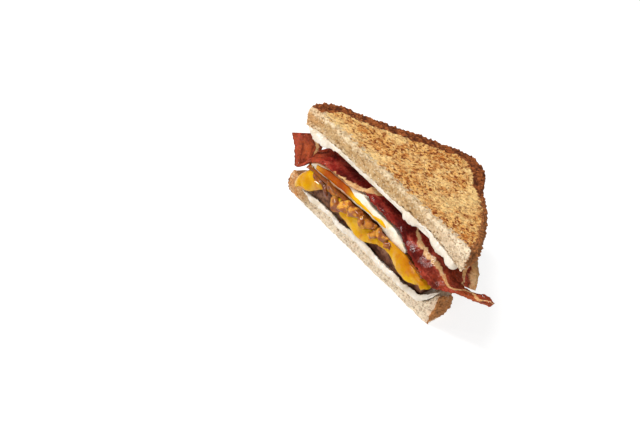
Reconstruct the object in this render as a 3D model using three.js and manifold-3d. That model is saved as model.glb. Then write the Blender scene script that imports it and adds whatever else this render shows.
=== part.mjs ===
// One half of a grilled patty melt, cut corner to corner and lying flat on its lower slice: two slices of
// toasted bread with a sauce layer on each, a meat patty, melted cheese, fried onions, a fried egg and bacon.
// Millimetres, +Z up. Everything is drawn in the cut's own frame: the cut runs along X, the filling's cut
// faces look towards -Y, the loaf's back corner points to +Y and the table is z = 0.
import * as THREE from "three";
import Module from "manifold-3d";
import { mergeVertices } from "three/addons/utils/BufferGeometryUtils.js";

const wasm = await Module();
wasm.setup();

// ---------- driving sizes ----------
const gap = 0.4; // between two layers that lie on each other
const restCentre = { x: -3, y: 29 }; // middle of the lower slice's resting face: the part's origin

// Heights of the layers where the filling presses on them.
const level = {
  lowerSlice: 9.6,
  lowerSauce: 11.6,
  patty: 24.0,
  cheese: 26.4,
  onions: 28.2,
  egg: 35.2,
  bacon: 46.0,
  upperSauce: 47.6,
  upperSlice: 58.0,
};

// Every layer is a wedge seen from above: its cut runs from left to right at cutY, and its two sides meet at
// right angles at the apex, rounded from "corner" away. "steps" are the points on the cut and on the sides,
// and "rough" is how far its edge wanders.
// A slice is half a square of bread. Its bumps are places where the crust stands out or draws in: "at" is the
// share of the way round the crust from the right tip to the left one. The drawn-in one is the notch where
// the loaf's crown rose over the tin.
const upperSlice = {
  left: -71, right: 70.5, cutY: 0, apex: [-3, 83], corner: 22, steps: [30, 44], rough: 0.4,
  bumps: [
    { at: 0.2, width: 0.09, out: 2.2 },
    { at: 0.345, width: 0.04, out: -1.6 },
    { at: 0.92, width: 0.08, out: 3.2 },
  ],
};
const lowerSlice = {
  left: -71.5, right: 61.5, cutY: 4, apex: [-4, 84], corner: 24, steps: [30, 44], rough: 0.4,
  bumps: [{ at: 0.345, width: 0.04, out: -2 }],
};
const crustRound = 2.6; // how far the crust's edges are rounded
const tipRound = 2.2; // and the tips'
const cutRound = 0.5; // and the cut's
// The bread is thicker at its free tips and at its back corner, where no filling presses on it.
const swelling = {
  lower: { left: { from: -55, to: -68, rise: 3.6 }, right: { from: 50.5, to: 62, rise: 12 } },
  upper: { left: { from: -56, to: -71, rise: 2.8 }, right: { from: 52, to: 70, rise: 3.8 } },
  back: { from: 62, to: 77, lower: 3, upper: 4.5 },
};

// The sauce layers. "low", "high" and "out" draw the bead at the cut as [x, value] points: the heights of its
// lower and upper edge, and how far it is squeezed out. "back" is where it draws in again, over the lower
// slice's swollen tip.
const lowerSauce = {
  left: -53.5, right: 60, cutY: 0.9, apex: [-2, 65], corner: 20, steps: [44, 26], rough: 0.3,
  low: [
    [-54, 10.6], [-50, 10.4], [-44, 8.8], [-38, 9.4], [-33, 9.8], [-26, 10.8], [-18, 9.2], [-10, 10],
    [-2, 10.6], [12, 10.4], [20, 9.6], [36, 9.8], [46, 10.4], [51, 10.7], [54, 13], [57, 16.6], [60, 20.4],
  ],
  high: [
    [-54, 11.4], [-50, 12.2], [-42, 13.2], [-32, 13], [-24, 13.9], [-18, 13], [-10, 14.4], [-4, 15.2],
    [6, 15.2], [16, 14], [24, 13.4], [32, 14.4], [38, 13.6], [44, 14.8], [51, 15], [54, 17.4], [57, 20.6],
    [60, 23.6],
  ],
  out: [
    [-54, 1.6], [-46, 3], [-38, 1.8], [-30, 2], [-22, 3], [-14, 3.2], [-6, 2], [4, 3], [14, 3.2],
    [22, 3], [30, 2.4], [38, 3.2], [44, 2.4], [50, 2.2], [60, 1.2],
  ],
  back: { from: 52, to: 58, by: 2.2 }, caps: [0.6, 0.8],
};
const upperSauce = {
  left: -66, right: 65, cutY: 0.5, apex: [-2, 69], corner: 26, steps: [46, 18], rough: 0.3,
  low: [
    [-68, 44.4], [-64, 43.8], [-60, 42.8], [-55, 42.4], [-50, 43.6], [-46, 46.6], [-38, 47.2], [-33, 47.5],
    [-26, 46.4], [-13, 46.4], [-6, 46.7], [4, 46.4], [10, 47.4], [16, 47.8], [19.5, 47], [22, 44.9], [27, 45],
    [31, 46.4], [34, 48.6], [38, 48.8], [41, 48], [44, 45.4], [48, 43.8], [52, 43.6], [55.5, 44.2], [60, 42],
    [64.5, 41.6],
  ],
  high: [
    [-68, 45], [-64, 46.2], [-60, 46.9], [-52, 48], [-46, 48.4], [-40, 49], [-32, 49], [-22, 48.5],
    [-12, 49.2], [-3, 49], [8, 48.6], [15, 48.9], [19.5, 50], [24, 51], [30, 50.8], [34, 50], [40, 50.2],
    [46, 50], [52, 49], [58, 48], [62, 46.6], [65, 44.6],
  ],
  out: [
    [-68, 1], [-62, 2.4], [-56, 3], [-50, 2.2], [-44, 1.1], [-30, 0.8], [0, 0.8], [17, 1], [21, 2.8],
    [26, 3.4], [31, 2.6], [35, 1.2], [40, 1.4], [45, 2], [50, 2.6], [55, 1.9], [61, 2.6], [65, 2],
  ],
  caps: [0.5, 0.8],
};

const patty = { left: -54, right: 51, cutY: 1.1, apex: [-2, 66], corner: 30, steps: [24, 30], rough: 0.45 };
const pattySlopes = { from: -45, to: -56, fall: 4 }; // its upper face is lower towards its left end
const cheese = { left: -57, right: 51.5, cutY: 0.2, apex: [-3, 66], corner: 24, steps: [38, 30] };
const cheeseThick = 2;
// Cheese that melted over the patty's edge. Along the cut, as [x, value] points: how far it hangs, how far its
// upper edge is lifted and how much stouter it is. On the sides: its drips, by their share of the way round.
const cheeseCut = {
  drop: [
    [-62, 4], [-59, 6], [-55, 8.6], [-50, 10.4], [-46, 9.4], [-42, 5.6], [-38, 1.8], [-34, 0.9], [-30, 0.8],
    [-26, 2.2], [-22, 5.8], [-18, 7.4], [-11, 8.2], [-6, 9.6], [-2, 10.2], [3, 8.8], [8, 6.6], [13, 4],
    [18, 2.6], [22, 2.6], [26, 3.6], [30, 5], [34, 6.2], [42, 6.4], [47, 5], [52, 3],
  ],
  lift: [
    [-60, 0], [-52, 1.2], [-47, 1], [-42, 0], [14, 0], [18, 2.4], [22, 3], [30, 3.4], [34, 3.2], [38, 2.2],
    [42, 1.2], [47, 0], [54, -1],
  ],
  stout: [[-60, 1.6], [-50, 1.6], [-42, 0], [18, 0], [26, 0.8], [34, 1.8], [44, 2], [52, 1.2]],
};
const cheeseDrips = [
  { at: 0, width: 0.06, drop: 3.5 },
  { at: 0.22, width: 0.09, drop: 5 },
  { at: 0.5, width: 0.07, drop: 7.5 },
  { at: 0.8, width: 0.07, drop: 5.5 },
  { at: 1, width: 0.06, drop: 4 },
];
const cheeseDroop = { from: -50, to: -62, fall: 8 }; // its left corner hangs over the end of the patty
const egg = { left: -54.5, right: 32, cutY: -1.0, apex: [-11, 64], corner: 20, steps: [26, 28], rough: 0.7 };
const eggThinner = 3.2; // how much thinner the egg is at its left end
const eggDroops = { from: -50, to: -55, fall: 3 }; // where that end bends down over the cheese
const yolk = { left: -50, right: 13, cutY: -1.5, apex: [-20, 40], corner: 16, steps: [20, 12] };
const onionBed = {
  left: -52, right: 47, cutY: -2.6, apex: [-3, 62], corner: 20, steps: [16, 12], rough: 0.5,
};
// Fried pieces of onion: the usual size, how many lie round the sides, and those that slid down over the
// cheese at the cut, each with its middle, its size and its turn in degrees.
const onionPiece = { long: 8, wide: 5.6, thick: 2.7 };
const onionsAround = 12;
const onionsHung = [
  { at: [-43.5, -3.4, 26], long: 13, wide: 2.8, thick: 1.6, turn: -4 },
  { at: [-31.5, -3.6, 26.6], long: 15, wide: 2.8, thick: 1.6, turn: 4 },
  { at: [-36, -3.4, 24.4], long: 8, wide: 3, thick: 1.5, turn: -28 },
  { at: [-25.5, -4.4, 22.6], long: 13, wide: 4.6, thick: 1.7, turn: -50 },
  { at: [-19.5, -4.2, 25.6], long: 9, wide: 4.6, thick: 1.8, turn: 50 },
  { at: [-10, -4, 27.4], long: 11, wide: 6, thick: 2.2, turn: 24 },
  { at: [-2.5, -4.4, 25.4], long: 8, wide: 4.4, thick: 2, turn: -22 },
  { at: [3.5, -3.8, 28], long: 9, wide: 4.4, thick: 2.8, turn: 22 },
  { at: [8.5, -4.4, 25.2], long: 7, wide: 3.8, thick: 2.2, turn: 36 },
  { at: [13.5, -3.8, 27.6], long: 10, wide: 4, thick: 2.8, turn: -20 },
  { at: [20, -3.4, 26.2], long: 6, wide: 3.4, thick: 2.2, turn: 30 },
];

// Bacon: each row is a place along the strip, its front edge and then its back edge.
const baconThick = 1.9;
const baconStrips = {
  bacon_folded: [
    [-78, 1, 34.2, -63.5, 7, 42.4],
    [-72, 0.5, 27.4, -58.5, 8, 38],
    [-64, -0.5, 22.5, -57, 6, 30],
    [-56.8, -2, 27.8, -55.5, 6.5, 36.5],
    [-50.8, -3, 32.7, -49.5, 9, 42.2],
    [-42, -3.2, 36.2, -41, 15, 44.4],
    [-29, -3, 37.3, -28, 18, 44.6],
    [-17, -2.4, 38.1, -16, 20, 44.2],
    [-6, 5, 38.8, -5, 24, 42.4],
    [8, 18, 39, 7, 30, 41],
  ],
  bacon_long: [
    [-11, -1.2, 40.2, -9, 1.6, 44.4],
    [-2, -1.5, 38.8, 0, 10, 44.2],
    [10, -1.5, 38.2, 12, 13, 44],
    [22, -1.6, 37.8, 24, 13.5, 43.6],
    [31, -2.5, 33.8, 34, 13, 43.2],
    [41, -3.4, 30.6, 44, 12, 42],
    [51, -3.8, 27.6, 54, 10.5, 39.6],
    [60, -2.4, 26.4, 60.5, 9, 35.4],
    [67, 2, 28.8, 67, 9.2, 32.8],
    [73.5, 6.6, 29, 74.5, 11, 32.4],
    [80, 9.4, 31.4, 81, 13.4, 34.8],
    [86, 11.4, 32, 87, 15, 35.6],
  ],
  bacon_right: [
    [12, 20, 40.6, 16, 42, 40.4],
    [30, 19, 42, 35, 38, 42],
    [46, 16.5, 42, 54, 28, 41.2],
    [52, 13.6, 40.2, 65, 20.5, 40],
    [54, 13.2, 33.5, 70, 17.6, 35.8],
    [57, 13.4, 26.5, 71, 17, 30.2],
  ],
  bacon_back: [
    [-44, 28, 39.5, -40, 42, 40.5],
    [-32, 26, 42, -26, 45, 42],
    [-18, 30, 40.6, -16, 51, 40.6],
    [-5, 33, 42.4, -3, 55, 42],
    [7, 36, 40.8, 8, 57, 40.6],
  ],
};

const colours = {
  toast: 0xc98f4f, patty: 0x6e5046, cheese: 0xe8aa32, onion: 0xa8642c, egg: 0xefe9df, yolk: 0xe0a01a,
  bacon: 0x8a2a22, sauce: 0xf2ece2,
};

// ---------- helpers ----------
const { sin, cos, exp, abs, min, max, sqrt, PI } = Math;
const lerp = THREE.MathUtils.lerp;
const smooth = (x, a, b) => {
  const t = min(1, max(0, (x - a) / (b - a)));
  return t * t * (3 - 2 * t);
};
const hump = (x, centre, width) => exp(-(((x - centre) / width) ** 2));
// Unevenness without any drawing of lots: a few waves whose lengths share no common measure.
const uneven = (s, seed) =>
  (sin(s * 1.0 + seed) + 0.7 * sin(s * 1.93 + 2.1 * seed) + 0.5 * sin(s * 3.37 + 3.7 * seed)) / 2.2;

// The value at x of a line through [x, value] points.
function lineAt(line, x) {
  const i = line.findIndex(([at]) => at > x);
  if (i <= 0) return line.at(i)[1];
  const [[before, a], [after, b]] = [line[i - 1], line[i]];
  return lerp(a, b, (x - before) / (after - before));
}

// A wedge's outline, seen from above and anticlockwise: first the cut from left to right, then the two sides
// round the back corner. Each point has its outward direction, its share of the way along its stretch, and
// "tip": 1 at an end of the cut, falling to 0 a little further in. "grow" moves the outline outward.
function wedge(size, grow = 0) {
  const { left, right, cutY, corner, rough = 0, bumps = [] } = size;
  const [apexX, apexY] = size.apex;
  const [cutSteps, sideSteps] = size.steps;
  const rightY = apexY - (right - apexX);
  const leftY = apexY - (apexX - left);
  const step = Math.SQRT1_2;
  const side = new THREE.Path();
  side.moveTo(right, cutY);
  side.quadraticCurveTo(right, rightY, right - (rightY - cutY) * step, rightY + (rightY - cutY) * step);
  side.lineTo(apexX + corner * step, apexY - corner * step);
  side.quadraticCurveTo(apexX, apexY, apexX - corner * step, apexY - corner * step);
  side.lineTo(left + (leftY - cutY) * step, leftY + (leftY - cutY) * step);
  side.quadraticCurveTo(left, leftY, left, cutY);
  const points = [];
  for (let i = 0; i < cutSteps; i++) {
    const share = i / cutSteps;
    points.push({ x: lerp(left, right, share), y: cutY, cut: true, share });
  }
  side.getSpacedPoints(sideSteps).slice(0, -1).forEach((p, i) => {
    points.push({ x: p.x, y: p.y, cut: i === 0, share: i / sideSteps });
  });
  const n = points.length;
  points.forEach((p, i) => {
    const before = points[(i + n - 1) % n];
    const after = points[(i + 1) % n];
    const length = Math.hypot(after.x - before.x, after.y - before.y);
    p.outX = (after.y - before.y) / length;
    p.outY = -(after.x - before.x) / length;
    p.tip = p.cut ? max(0, 1 - min(abs(p.x - left), abs(p.x - right)) / 6) : 1;
  });
  for (const p of points) {
    const way = p.cut ? p.x * 0.35 : p.share * 60;
    const wave = rough * (p.cut ? 0.5 : 1) * uneven(way, cutY + (p.cut ? 1 : 5));
    const bump = p.cut ? 0 : bumps.reduce((sum, b) => sum + b.out * hump(p.share, b.at, b.width), 0);
    const out = grow + wave + bump;
    p.x += p.outX * out;
    p.y += p.outY * out;
  }
  return points;
}

// A closed solid from rings that run from its upper middle, over its edge, to its lower middle.
function ringSolid(rings, topPole, bottomPole) {
  const n = rings[0].length;
  const vertices = [...topPole, ...rings.flat(2), ...bottomPole];
  const at = (k, i) => 1 + k * n + (i % n);
  const last = 1 + rings.length * n;
  const faces = [];
  for (let i = 0; i < n; i++) {
    faces.push(0, at(0, i), at(0, i + 1));
    faces.push(last, at(rings.length - 1, i + 1), at(rings.length - 1, i));
    for (let k = 0; k + 1 < rings.length; k++) {
      faces.push(at(k, i), at(k + 1, i), at(k + 1, i + 1));
      faces.push(at(k, i), at(k + 1, i + 1), at(k, i + 1));
    }
  }
  const geometry = new THREE.BufferGeometry();
  geometry.setAttribute("position", new THREE.Float32BufferAttribute(vertices, 3));
  geometry.setIndex(faces);
  return geometry;
}

// A layer: its outline, its lower and upper surfaces as functions of x and y, and the profile of its edge as
// { out, z } steps from the upper surface to the lower one, each a function of the outline's point. "caps" are
// the rings that both surfaces have inside their edge, as shares of the way out; they draw in less along the
// cut than across it, so that its tips keep their shape.
function layer({ outline, lower, upper, profile, caps = [] }) {
  const centre = { x: 0, y: 0 };
  for (const p of outline) {
    centre.x += p.x / outline.length;
    centre.y += p.y / outline.length;
  }
  const edge = profile.map(({ out, z }) =>
    outline.map((p) => {
      const x = p.x + p.outX * out(p);
      const y = p.y + p.outY * out(p);
      return [x, y, z(p, x, y)];
    }),
  );
  const shrink = (ring, share, surface) =>
    ring.map(([px, py]) => {
      const x = lerp(centre.x, px, 0.5 + 0.5 * share);
      const y = lerp(centre.y, py, share);
      return [x, y, surface(x, y)];
    });
  const rings = [
    ...caps.map((share) => shrink(edge[0], share, upper)),
    ...edge,
    ...caps.toReversed().map((share) => shrink(edge.at(-1), share, lower)),
  ];
  return ringSolid(
    rings,
    [centre.x, centre.y, upper(centre.x, centre.y)],
    [centre.x, centre.y, lower(centre.x, centre.y)],
  );
}

// The edge of a plain layer: rounded by soft(p) at its upper and lower surface.
const plainEdge = (lower, upper, soft) => [
  { out: (p) => -soft(p), z: (p, x, y) => upper(x, y) },
  { out: (p) => -0.25 * soft(p), z: (p, x, y) => lerp(upper(x, y), lower(x, y), 0.12) },
  { out: () => 0, z: (p, x, y) => lerp(upper(x, y), lower(x, y), 0.4) },
  { out: (p) => -0.1 * soft(p), z: (p, x, y) => lerp(upper(x, y), lower(x, y), 0.72) },
  { out: (p) => -soft(p), z: (p, x, y) => lower(x, y) },
];

// ---------- the slices ----------
const swell = ({ left, right }, x) =>
  left.rise * smooth(x, left.from, left.to) + right.rise * smooth(x, right.from, right.to);
const atBack = (y) => smooth(y, swelling.back.from, swelling.back.to);
const lowerBread = (x, y) => level.lowerSlice + swell(swelling.lower, x) + swelling.back.lower * atBack(y);
const upperBread = (x, y) =>
  level.upperSauce + gap - swell(swelling.upper, x) - swelling.back.upper * atBack(y);
const toastTop = (x, y) =>
  level.upperSlice + 0.4 * (uneven(0.09 * x, 1) + uneven(0.11 * y, 2)) - 0.8 * smooth(y, 58, 78);
const breadSoft = (p) => (p.cut ? lerp(cutRound, tipRound, p.tip) : crustRound);

function sliceSolid(size, lower, upper) {
  const profile = plainEdge(lower, upper, breadSoft);
  return layer({ outline: wedge(size), lower, upper, profile, caps: [0.3, 0.62, 0.82] });
}

// ---------- the sauce ----------
// A thin layer whose cut edge is a bead of uneven height.
function sauceSolid(size, lower, upper) {
  const back = (p) => (p.cut && size.back ? size.back.by * smooth(p.x, size.back.from, size.back.to) : 0);
  const bulge = (p) => (p.cut ? lineAt(size.out, p.x) : 0.4);
  const tall = (p, x, y, share) => {
    const [low, high] = p.cut ? [lineAt(size.low, p.x), lineAt(size.high, p.x)] : [lower(x, y), upper(x, y)];
    return lerp(low, high, share);
  };
  const profile = [
    { out: (p) => (p.cut ? 0.5 : -1.5), z: (p, x, y) => upper(x, y) },
    {
      out: (p) => (p.cut ? 0.6 * bulge(p) : -0.5),
      z: (p, x, y) => (p.cut ? tall(p, x, y, 0.97) : upper(x, y)),
    },
    { out: (p) => max(0.3, 0.9 * bulge(p)), z: (p, x, y) => tall(p, x, y, 0.76) },
    { out: bulge, z: (p, x, y) => tall(p, x, y, 0.4) },
    { out: (p) => (p.cut ? 0.75 * bulge(p) : -0.3), z: (p, x, y) => tall(p, x, y, 0.06) },
    { out: (p) => (p.cut ? 0.5 : -1.5), z: (p, x, y) => lower(x, y) },
  ].map(({ out, z }) => ({ out: (p) => out(p) - back(p), z }));
  return layer({ outline: wedge(size), lower, upper, profile, caps: size.caps });
}
// Towards the slices' swollen tips the sauce is thinner.
const tipClear = (x) => 0.6 * (smooth(x, 44, 52) + smooth(x, -48, -58));
const lowerSauceFloor = (x, y) => lowerBread(x, y) + 1.3 * gap + 2.4 * tipClear(x);
const lowerSauceTop = (x, y) =>
  lowerBread(x, y) + level.lowerSauce - level.lowerSlice + 1.2 * smooth(x, 51.5, 55);
const upperSauceTop = (x, y) => upperBread(x, y) - gap - tipClear(x);
const upperSauceFloor = (x, y) => upperSauceTop(x, y) - (level.upperSauce - level.bacon - gap);

// ---------- the patty ----------
const pattyFloor = () => level.lowerSauce + gap;
const pattyTop = (x) => level.patty - pattySlopes.fall * smooth(x, pattySlopes.from, pattySlopes.to);
function pattySolid() {
  const soft = (p) => (p.cut ? lerp(0.9, 3.4, p.tip) : 3.4);
  const profile = plainEdge(pattyFloor, pattyTop, soft);
  return layer({ outline: wedge(patty), lower: pattyFloor, upper: pattyTop, profile });
}

// ---------- the cheese ----------
// A sheet whose edge hangs down like a skirt, further at its drips.
function cheeseSolid(grow = 0) {
  const droop = (x) => cheeseDroop.fall * smooth(x, cheeseDroop.from, cheeseDroop.to);
  const floor = level.patty + gap - grow;
  const top = level.patty + gap + cheeseThick + grow;
  const drop = (p) =>
    p.cut
      ? lineAt(cheeseCut.drop, p.x)
      : cheeseDrips.reduce((sum, d) => sum + d.drop * hump(p.share, d.at, d.width), 0.9);
  const lift = (p) => (p.cut ? lineAt(cheeseCut.lift, p.x) : 0);
  const bulge = (p) => 0.5 * min(1, drop(p) / 6) + (p.cut ? lineAt(cheeseCut.stout, p.x) : 0) + grow;
  const profile = [
    { out: () => -0.6, z: () => top },
    { out: (p) => 1.5 + 0.35 * max(0, lift(p)) + grow, z: (p) => top - 0.25 + lift(p) },
    { out: (p) => 2.6 + bulge(p), z: (p) => top - 0.8 - 0.35 * drop(p) + 0.7 * lift(p) },
    { out: (p) => 2.7 + bulge(p), z: (p) => top - 1.2 - 0.75 * drop(p) },
    { out: (p) => 1.9 + bulge(p), z: (p) => top - 1.6 - drop(p) - 2 * grow },
    { out: (p) => 1.0 + 0.5 * bulge(p) - grow, z: (p) => floor - 0.1 - 0.75 * drop(p) },
    { out: () => 0.7 - grow, z: (p) => floor - 0.35 * max(0, drop(p) - 0.5) },
    { out: () => 0.5 - grow, z: () => floor },
  ].map(({ out, z }) => ({ out, z: (p, x) => z(p) - droop(x) }));
  const lower = (x) => floor - droop(x);
  const upper = (x) => top - droop(x);
  return layer({ outline: wedge(cheese), lower, upper, profile, caps: [0.72] });
}

// ---------- booleans ----------
function solidOf(geometry) {
  const bare = geometry.clone();
  for (const name of ["normal", "uv"]) bare.deleteAttribute(name);
  const merged = mergeVertices(bare, 1e-4);
  return new wasm.Manifold(
    new wasm.Mesh({
      numProp: 3,
      vertProperties: new Float32Array(merged.attributes.position.array),
      triVerts: new Uint32Array(merged.index.array),
    }),
  );
}
function geometryOf(solid) {
  const mesh = solid.getMesh();
  const geometry = new THREE.BufferGeometry();
  geometry.setAttribute("position", new THREE.BufferAttribute(mesh.vertProperties, mesh.numProp));
  geometry.setIndex(new THREE.BufferAttribute(mesh.triVerts, 1));
  return geometry;
}

// ---------- the egg and its yolk ----------
const eggDroop = (x) => eggDroops.fall * smooth(x, eggDroops.from, eggDroops.to);
const eggFloor = (x) => level.onions + gap + 0.7 * uneven(0.16 * x, 4) + 0.7 - 0.8 * eggDroop(x);
const eggEnds = (x) => eggThinner * smooth(x, -24, egg.left) + 2.2 * smooth(x, 20, egg.right);
const eggTop = (x) => level.egg - eggEnds(x) + 0.35 * uneven(0.2 * x, 9) - eggDroop(x);
const yolkFloor = (x) => lerp(eggFloor(x) + 0.9, eggTop(x) - 3.6, smooth(x, -30, -8));
const yolkTop = (x) => eggTop(x) - lerp(0.9, 2.2, smooth(x, -34, -14)) + 0.9 * hump(x, 9, 5);
function eggLayer(size, floor, top, soft, grow) {
  const lower = (x) => floor(x) - grow;
  const upper = (x) => top(x) + grow;
  return layer({ outline: wedge(size, grow), lower, upper, profile: plainEdge(lower, upper, soft) });
}
const yolkSolid = (grow = 0) => eggLayer(yolk, yolkFloor, yolkTop, (p) => (p.cut ? 0.1 : 1.2), grow);
const eggSolid = (grow = 0) => eggLayer(egg, eggFloor, eggTop, (p) => (p.cut ? 0.5 : 2.2), grow);
const eggAroundYolk = () => geometryOf(solidOf(eggSolid()).subtract(solidOf(yolkSolid(1.7 * gap))));

// ---------- the onions ----------
// A diced piece: a box with its corners drawn in and its ends bent down, as a layer of onion is.
function dicePiece(long, wide, thick, seed) {
  const box = new THREE.BoxGeometry(long, wide, thick, 3, 2, 1);
  const position = box.attributes.position;
  for (let i = 0; i < position.count; i++) {
    const u = (2 * position.getX(i)) / long;
    const v = (2 * position.getY(i)) / wide;
    const w = (2 * position.getZ(i)) / thick;
    const draw = 1 - 0.16 * (u * u + v * v + w * w - max(u * u, v * v, w * w));
    const bend = 0.08 * long * u * u;
    const lump = 0.05 * long * sin(2.3 * u + 3.1 * v + seed);
    const half = 0.5 * draw;
    position.setXYZ(i, half * long * u, half * wide * v + 0.5 * lump, half * thick * w + lump - bend);
  }
  return box;
}
// A thin bed with the pieces that show fused on.
function onionHeap() {
  const floor = () => level.cheese + gap;
  const top = () => level.onions;
  const profile = [
    { out: () => 0, z: top },
    { out: () => 0, z: floor },
  ];
  let heap = solidOf(layer({ outline: wedge(onionBed), lower: floor, upper: top, profile }));
  const { long, wide, thick } = onionPiece;
  const place = new THREE.Matrix4();
  const lean = new THREE.Euler();
  onionsHung.forEach((piece, i) => {
    const box = dicePiece(piece.long, piece.wide, piece.thick, i);
    box.rotateZ(THREE.MathUtils.degToRad(piece.turn));
    lean.set(PI / 2 - 0.3, 0, 0.16 * sin(5 * i));
    place.makeRotationFromEuler(lean).setPosition(...piece.at);
    heap = heap.add(solidOf(box.applyMatrix4(place)));
  });
  const around = wedge({ ...onionBed, steps: [6, onionsAround] }).filter((p) => !p.cut);
  around.forEach((p, i) => {
    const box = dicePiece(long * (0.9 + 0.3 * sin(7 * i)), wide, 0.75 * thick, i);
    lean.set(0.4 * sin(3 * i), 0.3 * sin(5 * i), 2.4 * i);
    place.makeRotationFromEuler(lean).setPosition(p.x, p.y, level.onions - 1 + 0.4 * sin(4 * i));
    heap = heap.add(solidOf(box.applyMatrix4(place)));
  });
  // What the cheese and the egg cut off is left out.
  return heap
    .subtract(solidOf(cheeseSolid(1.6 * gap)))
    .subtract(solidOf(eggSolid(gap)))
    .decompose()
    .reduce((a, b) => (a.volume() > b.volume() ? a : b));
}

// ---------- the bacon ----------
// A smooth curve through rows of numbers, at a share t of the way along them.
function through(rows, t) {
  const place = min(t, 0.999999) * (rows.length - 1);
  const i = Math.floor(place);
  const f = place - i;
  const row = (k) => rows[min(rows.length - 1, max(0, k))];
  return rows[0].map((_, c) => {
    const [a, b, d, e] = [row(i - 1)[c], row(i)[c], row(i + 1)[c], row(i + 2)[c]];
    const slope = d - a;
    const bend = 2 * a - 5 * b + 4 * d - e;
    const twist = 3 * b - a - 3 * d + e;
    return b + 0.5 * (slope * f + bend * f * f + twist * f * f * f);
  });
}
// A strip of bacon: a flat rippled band with rounded edges and thin ends.
function baconSolid(rows, seed) {
  const steps = 4 * (rows.length - 1);
  const across = 4;
  const edges = (t) => {
    const place = through(rows, t);
    return [new THREE.Vector3(...place.slice(0, 3)), new THREE.Vector3(...place.slice(3))];
  };
  const middle = (t) => {
    const [front, back] = edges(t);
    return front.lerp(back, 0.5);
  };
  const rings = [];
  for (let k = 0; k <= steps; k++) {
    const t = k / steps;
    const [front, back] = edges(t);
    const along = middle(min(1, t + 0.01)).sub(middle(max(0, t - 0.01)));
    const normal = along.cross(back.clone().sub(front)).normalize();
    const halfThick = 0.5 * baconThick * (0.35 + 0.65 * smooth(min(k, steps - k), 0, 2));
    const ring = [];
    for (const face of [1, -1]) {
      for (let j = 0; j < across; j++) {
        const v = face > 0 ? j / (across - 1) : 1 - j / (across - 1);
        const w = 2 * v - 1;
        const ripple = 0.45 * sin(1.3 * k + seed + 1.5 * v) * (1 - 0.3 * w * w);
        const off = face * halfThick * sqrt(1 - 0.75 * w * w) + ripple;
        ring.push(front.clone().lerp(back, v).addScaledVector(normal, off).toArray());
      }
    }
    rings.push(ring);
  }
  return ringSolid(rings, middle(0).toArray(), middle(1).toArray());
}

// ---------- the sandwich ----------
const sandwich = new THREE.Group();
sandwich.position.set(-restCentre.x, -restCentre.y, 0);
function add(name, geometry, color, roughness) {
  geometry.computeVertexNormals();
  const mesh = new THREE.Mesh(geometry, new THREE.MeshStandardMaterial({ color, roughness, metalness: 0 }));
  mesh.name = name;
  sandwich.add(mesh);
}

const tableTop = () => 0;
const sauceBelow = sauceSolid(lowerSauce, lowerSauceFloor, lowerSauceTop);
const sauceAbove = sauceSolid(upperSauce, upperSauceFloor, upperSauceTop);
add("bread_lower", sliceSolid(lowerSlice, tableTop, lowerBread), colours.toast, 0.9);
add("sauce_lower", sauceBelow, colours.sauce, 0.35);
add("patty", pattySolid(), colours.patty, 0.75);
add("cheese", cheeseSolid(), colours.cheese, 0.35);
add("onions", geometryOf(onionHeap()), colours.onion, 0.4);
add("egg_white", eggAroundYolk(), colours.egg, 0.45);
add("egg_yolk", yolkSolid(), colours.yolk, 0.4);
Object.entries(baconStrips).forEach(([name, rows], i) => {
  add(name, baconSolid(rows, i), colours.bacon, 0.4);
});
add("sauce_upper", sauceAbove, colours.sauce, 0.35);
add("bread_upper", sliceSolid(upperSlice, upperBread, toastTop), colours.toast, 0.9);

export default sandwich;
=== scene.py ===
# Half of a grilled patty melt, lying on its lower slice with its cut towards the camera.
# Shapes are drawn in millimetres in the cut's own frame: x along the cut, y into the sandwich, z up.
import math

import bpy
import numpy as np
from mathutils import Matrix, kdtree


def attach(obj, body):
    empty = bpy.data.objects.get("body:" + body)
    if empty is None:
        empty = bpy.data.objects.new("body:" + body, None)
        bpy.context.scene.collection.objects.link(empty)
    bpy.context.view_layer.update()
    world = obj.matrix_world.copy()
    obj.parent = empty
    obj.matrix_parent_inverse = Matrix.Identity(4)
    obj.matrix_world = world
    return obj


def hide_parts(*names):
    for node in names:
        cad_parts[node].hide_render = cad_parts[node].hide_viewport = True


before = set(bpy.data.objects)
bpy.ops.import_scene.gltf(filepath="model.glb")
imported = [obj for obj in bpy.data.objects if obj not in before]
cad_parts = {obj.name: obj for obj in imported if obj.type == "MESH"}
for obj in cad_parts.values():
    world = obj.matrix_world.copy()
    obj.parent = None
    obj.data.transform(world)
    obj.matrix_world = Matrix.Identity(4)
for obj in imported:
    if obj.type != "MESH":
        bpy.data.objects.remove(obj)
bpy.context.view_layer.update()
print("frame loaded:", len(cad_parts), "nodes")

restCentre = np.array([-3.0, 29.0, 0.0])  # the part's origin, in the cut's frame
gap = 0.4  # between two layers that lie on each other


# Helpers for shapes
def smooth(x, a, b):
    t = np.clip((np.asarray(x, float) - a) / (b - a), 0, 1)
    return t * t * (3 - 2 * t)


def hump(x, centre, width):
    return np.exp(-(((x - centre) / width) ** 2))


def lerp(a, b, t):
    return a + (b - a) * t


def uneven(s, seed):  # a few waves whose lengths share no common measure
    slow, middling, fast = (np.sin(a * s + b * seed) for a, b in ((1, 1), (1.93, 2.1), (3.37, 3.7)))
    return (slow + 0.7 * middling + 0.5 * fast) / 2.2


def cellValues(cells, seed, count=1):  # repeatable values from 0 to 1 for whole-number cells
    x, y, z = cells.astype(np.int64).T
    h = (x * 374761393 + y * 668265263 + z * 1440662683 + seed * 974711) & 0xFFFFFFFF
    values = []
    for factor in (1274126177, 2246822519, 3266489917, 668265263)[:count]:
        h = ((h ^ (h >> 13)) * factor) & 0xFFFFFFFF
        h = h ^ (h >> 16)
        values.append(h / 4294967296.0)
    return values


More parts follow.
